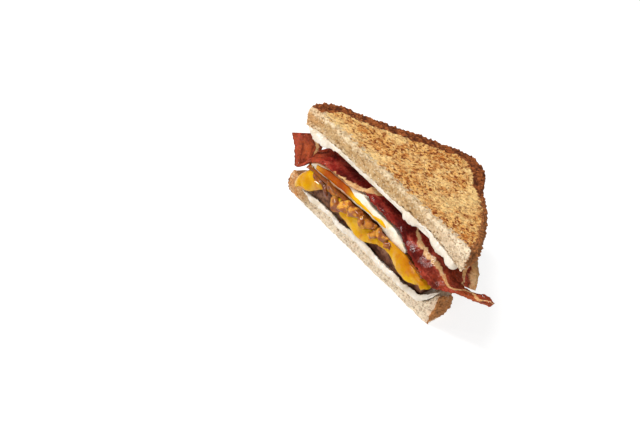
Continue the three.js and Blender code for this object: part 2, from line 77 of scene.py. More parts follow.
def lumps(points, size, seed):  # smooth noise from -1 to 1
    p = points / size
    base = np.floor(p)
    f = p - base
    f = f * f * (3 - 2 * f)
    total = np.zeros(len(p))
    for dx in (0, 1):
        for dy in (0, 1):
            for dz in (0, 1):
                share = (f[:, 0] if dx else 1 - f[:, 0]) * (f[:, 1] if dy else 1 - f[:, 1])
                share = share * (f[:, 2] if dz else 1 - f[:, 2])
                total += share * cellValues(base + (dx, dy, dz), seed)[0]
    return 2 * total - 1


def grains(points, size, seed):  # distance to the nearest of scattered seeds, and that seed's own value
    p = points / size
    base = np.floor(p)
    nearest = np.full(len(p), 9.0)
    own = np.zeros(len(p))
    for dx in (-1, 0, 1):
        for dy in (-1, 0, 1):
            for dz in (-1, 0, 1):
                cell = base + (dx, dy, dz)
                a, b, c, value = cellValues(cell, seed, 4)
                away = np.sqrt(((cell + np.stack([a, b, c], 1) - p) ** 2).sum(1))
                closer = away < nearest
                nearest = np.where(closer, away, nearest)
                own = np.where(closer, value, own)
    return nearest, own


def drawnLine(points, soften=1.4):  # height against x through given points, with its kinks softened
    xs, zs = (np.array(v, float) for v in zip(*points))
    grid = np.arange(xs[0] - 6, xs[-1] + 6, 0.2)
    heights = np.interp(grid, xs, zs)
    reach = np.arange(-15, 16) * 0.2
    weights = np.exp(-((reach / soften) ** 2))
    padded = np.pad(heights, 15, mode="edge")
    softened = np.convolve(padded, weights / weights.sum(), mode="valid")
    return lambda x: np.interp(x, grid, softened)


# Three bends round the two crust sides, from the cut's right end to its left one. The apex is the corner
# between them, and they run at 45 degrees to the cut.
def crustSides(size):
    left, right, cutY, corner = size["left"], size["right"], size["cutY"], size["corner"]
    apexX, apexY = size["apex"]
    slant = math.sqrt(0.5)
    rightY, leftY = apexY - (right - apexX), apexY - (apexX - left)
    rightRise, leftRise = (rightY - cutY) * slant, (leftY - cutY) * slant
    t = np.linspace(0, 1, 240)[:, None]

    def bend(a, b, c):
        a, b, c = (np.array(v, float) for v in (a, b, c))
        return (1 - t) ** 2 * a + 2 * (1 - t) * t * b + t**2 * c

    return np.vstack(
        [
            bend((right, cutY), (right, rightY), (right - rightRise, rightY + rightRise)),
            bend((apexX + corner * slant, apexY - corner * slant), (apexX, apexY),
                 (apexX - corner * slant, apexY - corner * slant)),
            bend((left + leftRise, leftY + leftRise), (left, leftY), (left, cutY)),
        ]
    )


# The line round a layer: straight along the cut, then round the crust sides. share runs from 0 to 1 along
# each, cut is 1 along the cut, and tip is 1 where the cut ends.
def outline(size, spacing, soften):
    left, right, cutY = size["left"], size["right"], size["cutY"]
    side = crustSides(size)
    run = np.concatenate([[0], np.cumsum(np.linalg.norm(np.diff(side, axis=0), axis=1))])
    sideCount, cutCount = int(run[-1] / spacing), int((right - left) / spacing)
    sideShare = np.arange(sideCount) / sideCount
    sideAt = np.stack([np.interp(sideShare * run[-1], run, side[:, i]) for i in (0, 1)], 1)
    cutShare = np.arange(cutCount) / cutCount
    cutAt = np.stack([lerp(left, right, cutShare), np.full(cutCount, cutY)], 1)
    at = np.vstack([cutAt, sideAt])
    share = np.concatenate([cutShare, sideShare])
    cut = np.concatenate([np.ones(cutCount), np.zeros(sideCount)])
    out = outward(at)
    rough = size.get("rough", 0)
    wave = np.where(cut > 0, 0.5 * uneven(0.35 * at[:, 0], cutY + 1), uneven(60 * share, cutY + 5)) * rough
    for b in size.get("bumps", []):
        wave = wave + np.where(cut > 0, 0, b["out"] * hump(share, b["at"], b["width"]))
    at = at + out * wave[:, None]
    fromTip = np.minimum(abs(at[:, 0] - left), abs(at[:, 0] - right))
    tip = np.where(cut > 0, np.clip(1 - fromTip / 6, 0, 1), 1)
    reach = max(1, int(3 * soften / spacing))
    weights = np.exp(-((np.arange(-reach, reach + 1) * spacing / soften) ** 2))
    weights /= weights.sum()

    def softened(values):
        wrapped = np.concatenate([values[-reach:], values, values[:reach]])
        return np.convolve(wrapped, weights, mode="valid")

    at = np.stack([softened(at[:, 0]), softened(at[:, 1])], 1)
    return {"at": at, "out": outward(at), "share": share, "cut": cut, "cutSoft": softened(cut),
            "tip": softened(tip), "x": at[:, 0]}


def outward(at):  # the outward direction at each point of a closed anticlockwise line
    way = np.roll(at, -1, 0) - np.roll(at, 1, 0)
    way /= np.maximum(1e-9, np.linalg.norm(way, axis=1))[:, None]
    return np.stack([way[:, 1], -way[:, 0]], 1)


def through(rows, t):  # a smooth curve through rows of numbers, at shares t of the way along them
    rows, t = np.asarray(rows, float), np.asarray(t, float)
    place = np.clip(t, 0, 0.999999) * (len(rows) - 1)
    i = np.floor(place).astype(int)
    f = (place - i).reshape((-1,) + (1,) * (rows.ndim - 1))
    a, b, c, d = (rows[np.clip(i + k, 0, len(rows) - 1)] for k in (-1, 0, 1, 2))
    return b + 0.5 * ((c - a) * f + (2 * a - 5 * b + 4 * c - d) * f**2 + (3 * b - a - 3 * c + d) * f**3)


# A rounded edge, from the upper face to the lower: how far it draws in, and how far down it is.
roundedEdge = ((1, 0), (0.25, 0.12), (0, 0.4), (0.1, 0.72), (1, 1))


# A closed layer. Its knots run over the edge from the upper face to the lower one, and each gives how far
# out it is and the height there. The caps are rings inside the edge, as shares of the way out.
def layerShape(line, knots, lower, upper, count, caps=(0.97, 0.88, 0.6)):
    stations = []
    for away, height in knots:
        xy = line["at"] + line["out"] * (np.zeros(len(line["x"])) + away)[:, None]
        stations.append(np.column_stack([xy, height(xy[:, 0], xy[:, 1])]))
    edge = through(np.stack(stations), np.linspace(0, 1, count))
    centre = line["at"].mean(0)

    def inner(ring, share, surface):
        xy = lerp(centre, ring[:, :2], share)
        return np.column_stack([xy, surface(xy[:, 0], xy[:, 1])])

    rings = [inner(edge[0], s, upper) for s in reversed(caps)] + list(edge)
    rings += [inner(edge[-1], s, lower) for s in caps]
    cx, cy = centre
    return ringShape(rings, (cx, cy, float(upper(cx, cy))), (cx, cy, float(lower(cx, cy))))


def ringShape(rings, firstPole, lastPole):  # rings of equal length, closed at both ends
    rings = np.stack(rings)
    m, n = rings.shape[:2]
    points = np.vstack([[firstPole], rings.reshape(-1, 3), [lastPole]])
    i = np.arange(n)
    j = (i + 1) % n
    faces = [(0, 1 + a, 1 + b) for a, b in zip(i, j)]
    last = 1 + (m - 1) * n
    faces += [(1 + m * n, last + b, last + a) for a, b in zip(i, j)]
    for k in range(m - 1):
        near, far = 1 + k * n, 1 + (k + 1) * n
        faces += [(near + a, far + a, far + b, near + b) for a, b in zip(i, j)]
    return points, faces


def addMesh(name, points, faces, material=None, values=None):
    mesh = bpy.data.meshes.new(name)
    mesh.from_pydata(((points - restCentre) * 0.001).tolist(), [], faces)
    mesh.polygons.foreach_set("use_smooth", np.ones(len(mesh.polygons), bool))
    for key, numbers in (values or {}).items():
        giveValues(mesh, key, numbers)
    if material:
        mesh.materials.append(material)
    mesh.update()
    piece = bpy.data.objects.new(name, mesh)
    bpy.context.scene.collection.objects.link(piece)
    return piece


def giveValues(mesh, key, numbers):
    layer = mesh.attributes.get(key) or mesh.attributes.new(key, "FLOAT", "POINT")
    layer.data.foreach_set("value", np.asarray(numbers, np.float32))


def pointsOf(mesh):
    numbers = np.zeros(len(mesh.vertices) * 3, np.float32)
    mesh.vertices.foreach_get("co", numbers)
    return numbers.reshape(-1, 3).astype(float) * 1000 + restCentre


def normalsOf(mesh):
    numbers = np.zeros(len(mesh.vertices) * 3, np.float32)
    mesh.vertices.foreach_get("normal", numbers)
    return numbers.reshape(-1, 3).astype(float)


def movePoints(mesh, points):
    mesh.vertices.foreach_set("co", ((points - restCentre) * 0.001).astype(np.float32).ravel())
    mesh.update()


def finishPiece(piece, node):
    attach(piece, "root")
    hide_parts(node)
    print(piece.name, len(piece.data.polygons), "faces")


# Helpers for materials
def paint(red, green, blue):  # a screen colour from 0 to 255, as the shader wants it
    return tuple((c / 255 / 12.92 if c <= 10 else ((c / 255 + 0.055) / 1.055) ** 2.4)
                 for c in (red, green, blue)) + (1.0,)


def addNode(tree, kind, inputs=None, **settings):
    made = tree.nodes.new(kind)
    for key, value in settings.items():
        setattr(made, key, value)
    for key, value in (inputs or {}).items():
        if isinstance(value, bpy.types.NodeSocket):
            tree.links.new(value, made.inputs[key])
        else:
            made.inputs[key].default_value = value
    return made


def blend(tree, share, first, second):  # two colours, mixed by a share from 0 to 1
    mixed = addNode(tree, "ShaderNodeMix", {0: share, 6: first, 7: second}, data_type="RGBA")
    return mixed.outputs[2]


def between(tree, value, low, high, top=1.0):  # 0 below low, top above high, smooth between
    given = {"Value": value, "From Min": low, "From Max": high, "To Max": top}
    return addNode(tree, "ShaderNodeMapRange", given, interpolation_type="SMOOTHSTEP").outputs[0]


def mathNode(tree, operation, first, second=0.0):
    return addNode(tree, "ShaderNodeMath", {0: first, 1: second}, operation=operation).outputs[0]


def times(tree, first, second):
    return mathNode(tree, "MULTIPLY", first, second)


def plus(tree, first, second):
    return mathNode(tree, "ADD", first, second)


def minus(tree, first, second):
    return mathNode(tree, "SUBTRACT", first, second)


def valueOf(tree, key):
    return addNode(tree, "ShaderNodeAttribute", attribute_name=key).outputs["Fac"]


def startMaterial(name, sockets):
    material = bpy.data.materials.new(name)
    material.use_nodes = True
    shader = material.node_tree.nodes["Principled BSDF"]
    for key, value in sockets.items():
        shader.inputs[key].default_value = value
    return material, material.node_tree, shader


def startGroup(name, inputs, outputs):
    group = bpy.data.node_groups.new(name, "ShaderNodeTree")
    for label, value in inputs.items():
        socket = group.interface.new_socket(name=label, in_out="INPUT", socket_type="NodeSocketFloat")
        socket.default_value = value
    for label in outputs:
        group.interface.new_socket(name=label, in_out="OUTPUT", socket_type="NodeSocketFloat")
    return group, group.nodes.new("NodeGroupInput").outputs, group.nodes.new("NodeGroupOutput").inputs


def placeGroup(tree, group, values):
    return addNode(tree, "ShaderNodeGroup", values, node_tree=group).outputs


# Patches of uneven tone: "Share" is where the noise starts to count, "Edge" how soft the patches are, and
# "Grit" how much its finest waves weigh.
def makeMottle():
    inputs = {"Scale": 100.0, "Detail": 3.0, "Grit": 0.5, "Share": 0.5, "Edge": 0.1}
    group, given, result = startGroup("mottle", inputs, ["Mask"])
    place = addNode(group, "ShaderNodeTexCoord").outputs["Object"]
    noise = addNode(group, "ShaderNodeTexNoise", {
        "Vector": place, "Scale": given["Scale"], "Detail": given["Detail"], "Roughness": given["Grit"]})
    low = minus(group, given["Share"], given["Edge"])
    high = plus(group, given["Share"], given["Edge"])
    group.links.new(between(group, noise.outputs["Fac"], low, high), result["Mask"])
    return group


# Scattered holes or grains: a mask that is 1 in the middle of each, and a value of each one's own.
def makeScatter():
    inputs = {"Scale": 500.0, "Ragged": 0.6, "Inner": 0.1, "Outer": 0.4, "Some": 0.3}
    group, given, result = startGroup("scatter", inputs, ["Mask", "Own"])
    place = addNode(group, "ShaderNodeTexCoord").outputs["Object"]
    noise = addNode(group, "ShaderNodeTexNoise", {"Vector": place, "Scale": given["Scale"], "Detail": 2.0})
    shift = addNode(group, "ShaderNodeVectorMath", {0: noise.outputs["Color"], 1: (0.5, 0.5, 0.5)},
                    operation="SUBTRACT")
    amount = mathNode(group, "DIVIDE", given["Ragged"], given["Scale"])
    shifted = addNode(group, "ShaderNodeVectorMath", {0: shift.outputs[0], "Scale": amount},
                      operation="SCALE")
    moved = addNode(group, "ShaderNodeVectorMath", {0: place, 1: shifted.outputs[0]}, operation="ADD")
    cells = addNode(group, "ShaderNodeTexVoronoi", {"Vector": moved.outputs[0], "Scale": given["Scale"]})
    spot = between(group, cells.outputs["Distance"], given["Outer"], given["Inner"])
    own = addNode(group, "ShaderNodeSeparateColor", {0: cells.outputs["Color"]}).outputs[0]
    kept = mathNode(group, "GREATER_THAN", own, given["Some"])
    group.links.new(times(group, spot, kept), result["Mask"])
    group.links.new(own, result["Own"])
    return group


# A wet skin: roughness that wanders, and a fine unevenness for the bump.
def makeWetness():
    inputs = {"Scale": 300.0, "Driest": 0.45, "Wettest": 0.12}
    group, given, result = startGroup("wetness", inputs, ["Roughness", "Height"])
    place = addNode(group, "ShaderNodeTexCoord").outputs["Object"]
    broad = addNode(group, "ShaderNodeTexNoise", {"Vector": place, "Scale": given["Scale"], "Detail": 4.0})
    spread = addNode(group, "ShaderNodeMapRange",
                     {"Value": broad.outputs["Fac"], "From Min": 0.35, "From Max": 0.65,
                      "To Min": given["Wettest"], "To Max": given["Driest"]})
    group.links.new(spread.outputs[0], result["Roughness"])
    group.links.new(broad.outputs["Fac"], result["Height"])
    return group


mottle, scatter, wetness = makeMottle(), makeScatter(), makeWetness()


def mottled(tree, scale, detail, share, edge, grit=0.5):
    values = {"Scale": scale, "Detail": detail, "Grit": grit, "Share": share, "Edge": edge}
    return placeGroup(tree, mottle, values)["Mask"]


def scattered(tree, scale, ragged, outer, some):
    values = {"Scale": scale, "Ragged": ragged, "Outer": outer, "Some": some}
    return placeGroup(tree, scatter, values)


def wetSkin(tree, shader, scale, driest, wettest):  # sets the roughness, and gives the height for the bump
    wet = placeGroup(tree, wetness, {"Scale": scale, "Driest": driest, "Wettest": wettest})
    tree.links.new(wet["Roughness"], shader.inputs["Roughness"])
    return wet["Height"]


def bumpFrom(tree, shader, height, distance, strength):
    made = addNode(tree, "ShaderNodeBump", {"Height": height, "Distance": distance, "Strength": strength})
    tree.links.new(made.outputs[0], shader.inputs["Normal"])


# Bread: two slices of toast
bread = {
    "upper": {"left": -71, "right": 70.5, "cutY": 0, "apex": (-3, 83), "corner": 22, "rough": 0.4,
              "bumps": [{"at": 0.2, "width": 0.09, "out": 2.2}, {"at": 0.345, "width": 0.04, "out": -1.6},
                        {"at": 0.92, "width": 0.08, "out": 3.2}]},
    "lower": {"left": -71.5, "right": 61.5, "cutY": 4, "apex": (-4, 84), "corner": 24, "rough": 0.4,
              "bumps": [{"at": 0.345, "width": 0.04, "out": -2}]},
    "lowerInner": 9.6, "upperInner": 48.0, "toastTop": 58,  # heights of the faces
    "crustRound": 2.6, "tipRound": 2.2, "cutRound": 0.5,
    "evenMesh": 0.44,  # the side of a mesh square
    "crustWide": (13, 6.5),  # how far the crust reaches in on the toasted face, left and right
    "crustDeep": 2.0,  # and on the cut and the inner face
    "paleTip": [(-1, 3), (-4, 1)],  # over which stretch from the cut the crust browns: upper, lower
    "poreSize": 1.9, "poreDeep": 0.55,
    "finePoreSize": 1.1, "finePoreDeep": 0.3,
    "grainSize": 2.1, "grainHigh": 1.7,
}


def lowerBread(x, y):
    swell = 3.6 * smooth(x, -55, -68) + 12 * smooth(x, 50.5, 62) * smooth(y, 46, 22)
    return bread["lowerInner"] + swell + 3 * smooth(y, 60, 75)


def upperBread(x, y):
    swell = 2.8 * smooth(x, -56, -71) + 3.8 * smooth(x, 52, 70)
    return bread["upperInner"] - swell - 4.5 * smooth(y, 60, 75)


def toastTop(x, y):
    waves = uneven(0.09 * x, 1) + uneven(0.11 * y, 2)
    return bread["toastTop"] + 0.4 * waves - 0.8 * smooth(y, 58, 78)


def tableTop(x, y):
    return np.zeros(np.shape(x))


def evenedMesh(piece, side):  # the same shape in squares of one size
    change = piece.modifiers.new("even", "REMESH")
    change.mode, change.voxel_size = "VOXEL", side * 0.001
    graph = bpy.context.evaluated_depsgraph_get()
    mesh = bpy.data.meshes.new_from_object(piece.evaluated_get(graph))
    piece.modifiers.clear()
    old, piece.data = piece.data, mesh
    bpy.data.meshes.remove(old)
    mesh.name = piece.name


def makeSlice(name, size, lower, upper, seed, toastUp):
    line = outline(size, 0.7, 1.5)
    cutRound = lerp(bread["cutRound"], bread["tipRound"], line["tip"])
    soft = np.where(line["cut"] > 0, cutRound, bread["crustRound"])

    def at(share):
        return lambda x, y: lerp(upper(x, y), lower(x, y), share)

    knots = [(-drawnIn * soft, at(share)) for drawnIn, share in roundedEdge]
    inner = np.where(line["cut"] > 0, 0.4, 1) * soft  # the cut's inner edge is sharper
    knots[-1 if toastUp else 0] = (-inner, at(1 if toastUp else 0))
    shape = layerShape(line, knots, lower, upper, 22, (0.97, 0.92, 0.85, 0.75, 0.6, 0.4, 0.2))
    piece = addMesh(name, *shape)
    evenedMesh(piece, bread["evenMesh"])
    sides = line["at"][line["cut"] == 0]
    roughenSlice(piece.data, sides, size["cutY"], lower, seed, toastUp)
    return piece


# Grain on the crust, holes in the crumb, and the values that the finish is coloured by.
def roughenSlice(mesh, sides, cutY, lower, seed, toastUp):
    points, normals = pointsOf(mesh), normalsOf(mesh)
    tree = kdtree.KDTree(len(sides))
    for i, (x, y) in enumerate(sides):
        tree.insert((x, y, 0), i)
    tree.balance()
    inFromCrust = np.array([tree.find((x, y, 0))[2] for x, y, _ in points])
    inFromCut = points[:, 1] - cutY
    upward = normals[:, 2]
    wander = lumps(points, 4.5, seed)
    toastSide = smooth(upward if toastUp else -upward, 0.35, 0.8)
    wide = lerp(*bread["crustWide"], smooth(points[:, 0], 0, 30))
    wide = lerp(bread["crustDeep"], wide, toastSide)
    crust = smooth(inFromCrust + 1.2 * wander, wide, wide - lerp(1.6, 5, toastSide))
    # the tips, where the cut ran into a corner of the loaf, are pale
    crust = crust * smooth(inFromCut + wander, *bread["paleTip"][0 if toastUp else 1])
    porous = (1 - crust) * (1 - 0.75 * toastSide)
    far, own = grains(points * (0.8, 1, 1), bread["poreSize"], seed)
    pore = smooth(far, 0.5, 0.12) * (own > 0.25) * (0.4 + own)
    farFine, ownFine = grains(points * (0.9, 1, 1), bread["finePoreSize"], seed + 1)
    finePore = smooth(farFine, 0.5, 0.1) * (ownFine > 0.3)
    farGrain, ownGrain = grains(points, bread["grainSize"], seed + 2)
    grain = (0.5 - farGrain) * (0.5 + ownGrain)
    edge = smooth(abs(inFromCut), 1.6, 0.2)
    off = -porous * (bread["poreDeep"] * pore + bread["finePoreDeep"] * finePore)
    off += crust * (bread["grainHigh"] * grain + 0.3 * wander)
    bare = 1 - crust
    off += 0.35 * edge * bare * lumps(points, 1.7, seed + 3) + 0.25 * bare * lumps(points, 6, seed + 4)
    off += 0.28 * toastSide * bare * lumps(points, 1.3, seed + 5)
    moved = points + normals * off[:, None]
    moved[:, 2] = np.maximum(moved[:, 2], 0)
    movePoints(mesh, moved)
    x, y, z = points.T
    share = (z - lower(x, y)) / 10
    # pale value: on the upper slice, its pale right tip; on the lower slice, most of the crumb, painted
    # paler as a painted light against the shade it lies in
    if toastUp:
        paleTipAndPaintedLight, tanned = 0.5 * smooth(x, 20, 60), 0.5 * smooth(x, -52, -68)
    else:
        paleTipAndPaintedLight, tanned = smooth(x, -58, -36), 0.9 * smooth(x, -50, -62) + 0.6 * smooth(x, 55, 61)
    shades = {"crust": crust, "toast": toastSide, "fromCut": inFromCut, "pore": pore, "grain": grain,
              "towardToast": share if toastUp else 1 - share, "paleTipAndPaintedLight": paleTipAndPaintedLight, "tanned": tanned}
    for key, numbers in shades.items():
        giveValues(mesh, key, numbers)
    mesh.polygons.foreach_set("use_smooth", np.ones(len(mesh.polygons), bool))


# The crumb: greyer in the middle of the cut, where the crumb is open and the shade of its pores is painted
# in, with pale strips along both its edges.
def crumbColour(tree, shift, holes, pinholes):
    keys = ("towardToast", "paleTipAndPaintedLight", "tanned", "pore")
    towardToast, paleTipAndPaintedLight, tanned, pore = (valueOf(tree, key) for key in keys)
    cloud = mottled(tree, 240, 5, 0.5, 0.14)
    middle = plus(tree, towardToast, times(tree, shift, 0.7))
    greyPoreShade = times(tree, between(tree, middle, 0.1, 0.3), between(tree, middle, 0.84, 0.66))
    crumb = blend(tree, greyPoreShade, paint(222, 200, 164), paint(192, 158, 112))
    crumb = blend(tree, times(tree, cloud, 0.6), crumb, paint(176, 138, 90))
    # painted light: the lower slice's crumb is painted paler against its shade; on the upper slice this is
    # the pale right tip
    crumb = blend(tree, times(tree, paleTipAndPaintedLight, 0.6), crumb, paint(244, 228, 204))
    fluff = scattered(tree, 820, 1.3, 0.45, 0.45)
    crumb = blend(tree, times(tree, fluff["Mask"], 0.55), crumb, paint(236, 226, 202))
    # painted shade in the hollows: the holes, pinholes and pores are painted darker brown
    crumb = blend(tree, times(tree, holes["Mask"], 0.55), crumb, paint(158, 116, 66))
    crumb = blend(tree, times(tree, pinholes["Mask"], 0.5), crumb, paint(164, 122, 72))
    crumb = blend(tree, times(tree, pore, 0.6), crumb, paint(154, 110, 60))
    tan = times(tree, tanned, plus(tree, 0.5, times(tree, cloud, 0.5)))
    crumb = blend(tree, tan, crumb, paint(188, 128, 74))
    # painted paler once more by the same value: painted light on the lower slice, pale tip on the upper
    return blend(tree, times(tree, paleTipAndPaintedLight, 0.3), crumb, paint(244, 228, 204))


# The toasted face: straw to gold, thickly strewn with brown specks that gather in patches.
def toastColour(tree):
    patches = mottled(tree, 55, 4, 0.5, 0.12)
    gold = blend(tree, patches, paint(240, 200, 132), paint(228, 172, 96))
    straw = mottled(tree, 330, 7, 0.43, 0.05, 0.75)
    gold = blend(tree, times(tree, minus(tree, 1, straw), 0.75), gold, paint(244, 216, 158))
    browner = mottled(tree, 250, 8, 0.515, 0.04, 0.74)
    more = plus(tree, times(tree, patches, 0.7), 0.3)
    gold = blend(tree, times(tree, browner, more), gold, paint(190, 118, 52))
    seared = mottled(tree, 430, 6, 0.545, 0.03, 0.66)
    gold = blend(tree, times(tree, seared, plus(tree, more, 0.2)), gold, paint(130, 62, 20))
    specks = scattered(tree, 700, 2.2, 0.45, 0.5)
    return blend(tree, times(tree, specks["Mask"], more), gold, paint(112, 54, 18))


def crustColour(tree):  # burnt in patches, with painted light on each grain's top and painted shade in the dips between them
    grain, paleTipAndPaintedLight = valueOf(tree, "grain"), valueOf(tree, "paleTipAndPaintedLight")
    burnt = mottled(tree, 170, 5, 0.5, 0.12)
    rind = blend(tree, burnt, paint(150, 80, 36), paint(104, 50, 22))
    # painted light on the raised grains, then painted shade in the dips between them
    rind = blend(tree, between(tree, grain, 0.0, 0.35, 0.7), rind, paint(176, 104, 52))
    rind = blend(tree, between(tree, grain, -0.05, -0.3, 0.8), rind, paint(76, 34, 16))
    # the crust is lighter by the same value, over most of the lower slice and at the upper slice's right
    # tip
    return blend(tree, times(tree, paleTipAndPaintedLight, 0.6), rind, paint(204, 142, 84))


def makeBreadFinish():
    material, tree, shader = startMaterial("toastedBread", {
        "Specular IOR Level": 0.2, "Subsurface Weight": 0.08, "Subsurface Radius": (1.0, 0.6, 0.35),
        "Subsurface Scale": 0.001})
    crust, toast, fromCut = (valueOf(tree, key) for key in ("crust", "toast", "fromCut"))
    place = addNode(tree, "ShaderNodeTexCoord").outputs["Object"]
    noise = addNode(tree, "ShaderNodeTexNoise", {"Vector": place, "Scale": 420, "Detail": 5})
    shift = minus(tree, noise.outputs[0], 0.5)
    holes = scattered(tree, 700, 1.3, 0.45, 0.25)
    pinholes = scattered(tree, 1300, 1.0, 0.45, 0.3)
    # the toasted face is paler along the cut
    fromCutNow = plus(tree, fromCut, times(tree, shift, 14))
    browned = times(tree, toast, between(tree, fromCutNow, -0.5, 7))
    browned = between(tree, plus(tree, browned, times(tree, shift, 0.8)), 0.15, 0.75)
    colour = blend(tree, browned, crumbColour(tree, shift, holes, pinholes), toastColour(tree))
    rim = between(tree, plus(tree, crust, times(tree, shift, 1.5)), 0.3, 0.62)
    tree.links.new(blend(tree, rim, colour, crustColour(tree)), shader.inputs["Base Color"])
    rough = addNode(tree, "ShaderNodeMapRange", {"Value": holes["Own"], "To Min": 0.75, "To Max": 0.95})
    tree.links.new(rough.outputs[0], shader.inputs["Roughness"])
    bits = scattered(tree, 640, 0.9, 0.5, 0.3)
    deep = plus(tree, times(tree, holes["Mask"], 0.7), times(tree, pinholes["Mask"], 0.4))
    raised = plus(tree, times(tree, bits["Mask"], rim), noise.outputs[0])
    bumpFrom(tree, shader, minus(tree, raised, deep), 0.0009, 0.9)
    return material


breadFinish = makeBreadFinish()
lowerSlice = makeSlice("slice_lower", bread["lower"], tableTop, lowerBread, 11, False)
upperSlice = makeSlice("slice_upper", bread["upper"], upperBread, toastTop, 12, True)
for piece, node in ((lowerSlice, "bread_lower"), (upperSlice, "bread_upper")):
    piece.data.materials.clear()
    piece.data.materials.append(breadFinish)
    finishPiece(piece, node)

# Sauce: one layer under the patty, one over the bacon
sauce = {
    "lower": {"left": -53.5, "right": 60, "cutY": 0.9, "apex": (-2, 65), "corner": 20, "rough": 0.3},
    "upper": {"left": -66, "right": 65, "cutY": 0.5, "apex": (-2, 69), "corner": 26, "rough": 0.3},
    "aboveLower": (0.52, 2),  # the lower layer's floor and top, over the lower slice
    "thick": 1.2, "intoUpper": 0.15,  # the upper layer, which sticks to the upper slice
    # where the sauce shows at the cut: its lower and upper edge and how far it stands out, along the cut
    "upperLow": [
        (-68, 46.4), (-64, 44), (-60, 42.8), (-55, 42.4), (-50, 43), (-46, 44.6), (-41, 46.2),
        (-36, 47), (-26, 46.4), (-13, 46.4), (-6, 46.7), (4, 46.4), (10, 47.4), (16, 47.8), (19.5, 47),
        (22, 44.9), (27, 45), (31, 46.4), (34, 48.6), (38, 48.8), (41, 48), (44, 45.4), (48, 43.8),
        (52, 43.6), (55.5, 44.2), (60, 42), (64.5, 41.6), (68, 43.4),
    ],
    "upperHigh": [
        (-68, 47), (-60, 46.9), (-52, 48), (-46, 48.4), (-40, 49), (-32, 49), (-22, 48.5), (-12, 49.2),
        (-3, 49), (8, 48.6), (15, 48.9), (19.5, 50), (24, 51), (30, 50.8), (34, 50), (40, 50.4),
        (46, 50), (52, 49), (58, 48), (63, 46.8), (68, 46),
    ],
    "upperOut": [
        (-68, 1), (-62, 2.4), (-56, 3), (-50, 2.2), (-44, 1.1), (-30, 0.8), (0, 0.8), (17, 1),
        (21, 2.8), (26, 3.4), (31, 2.6), (35, 1), (40, 1), (45, 2), (50, 2.6), (55, 1.9), (61, 2.6),
        (66, 2),
    ],
    "lowerLow": [
        (-54, 10.6), (-50, 10.4), (-44, 8.8), (-38, 9.4), (-33, 9.8), (-26, 10.8), (-18, 9.2),
        (-10, 10), (-2, 10.6), (12, 10.4), (20, 9.6), (28, 9.8), (36, 9.8), (41, 10.2), (46, 10.4),
        (51, 10.7), (54, 13), (57, 16.6), (60, 20.4), (62, 22),
    ],
    "lowerHigh": [
        (-54, 11.4), (-50, 12.2), (-42, 13.2), (-32, 13), (-24, 13.9), (-18, 13), (-10, 14.4),
        (-4, 15.2), (6, 15.2), (16, 14), (24, 13.4), (32, 14.4), (38, 13.6), (44, 14.8), (48, 14.9),
        (51, 15), (54, 17.4), (57, 20.6), (60, 23.6), (62, 24.6),
    ],
    "lowerOut": [
        (-54, 1.6), (-46, 3), (-38, 1.8), (-30, 2), (-22, 3), (-14, 3.2), (-6, 2), (4, 3), (14, 3.2),
        (22, 3), (30, 2.4), (38, 3.2), (44, 2.4), (50, 2.2), (54, 1), (57, -0.4), (60, -1),
    ],
}


def tipClear(x):  # the layers keep further apart at the two tips
    return 0.6 * (smooth(x, 44, 52) + smooth(x, -48, -58))


def makeSauce(name, which, lower, upper, seed, material):
    line = outline(sauce[which], 0.4, 0.9)
    x, onCut = line["x"], line["cutSoft"]
    low, high, out = (drawnLine(sauce[which + end], soften)(x) for end, soften in
                      (("Low", 0.9), ("High", 1.1), ("Out", 1.5)))
    low = low + 0.5 * uneven(0.8 * x, seed)
    high = high + 0.4 * uneven(1.0 * x, seed + 2)
    bulge = lerp(0.4, out + 0.25 * uneven(0.7 * x, seed + 4), onCut)

    def height(share):
        onEdge = lerp(low, high, share)
        return lambda px, py: lerp(lerp(lower(px, py), upper(px, py), share), onEdge, onCut)

    knots = [
        (lerp(-1.5, 0.5, onCut), upper),
        (lerp(-0.5, 0.6 * bulge, onCut), lambda px, py: lerp(upper(px, py), height(0.97)(px, py), onCut)),
        (np.maximum(0.3, 0.9 * bulge), height(0.76)),
        (bulge, height(0.4)),
        (lerp(-0.3, 0.75 * bulge, onCut), height(0.06)),
        (lerp(-1.5, 0.5, onCut), lower),
    ]
    points, faces = layerShape(line, knots, lower, upper, 26)
    points = points + 0.15 * lumps(points, 2.2, seed)[:, None] * (0.3, -1, 0.6)
    return addMesh(name, points, faces, material)


def makeSauceFinish():
    material, tree, shader = startMaterial("creamySauce", {
        "Subsurface Weight": 0.2, "Subsurface Radius": (1.0, 0.85, 0.65), "Subsurface Scale": 0.0015,
        "Specular IOR Level": 0.35, "Coat Weight": 0.4, "Coat Roughness": 0.1})
    tint = mottled(tree, 130, 4, 0.55, 0.14)
    colour = blend(tree, tint, paint(218, 208, 194), paint(200, 185, 162))
    oily = mottled(tree, 330, 2, 0.66, 0.06)
    colour = blend(tree, times(tree, oily, 0.5), colour, paint(226, 204, 166))
    tree.links.new(colour, shader.inputs["Base Color"])
    bumpFrom(tree, shader, wetSkin(tree, shader, 420, 0.4, 0.2), 0.0003, 0.5)
    return material


def lowerSauceFloor(x, y):
    return lowerBread(x, y) + sauce["aboveLower"][0] + tipClear(x)


def lowerSauceTop(x, y):
    return lowerBread(x, y) + sauce["aboveLower"][1] + 0.6 * smooth(x, 51, 56)


def upperSauceTop(x, y):
    return upperBread(x, y) + sauce["intoUpper"]


def upperSauceFloor(x, y):
    return upperBread(x, y) - gap - tipClear(x) - sauce["thick"]


sauceFinish = makeSauceFinish()
underPatty = makeSauce("sauce_under_patty", "lower", lowerSauceFloor, lowerSauceTop, 3, sauceFinish)
finishPiece(underPatty, "sauce_lower")
overBacon = makeSauce("sauce_over_bacon", "upper", upperSauceFloor, upperSauceTop, 7, sauceFinish)
finishPiece(overBacon, "sauce_upper")

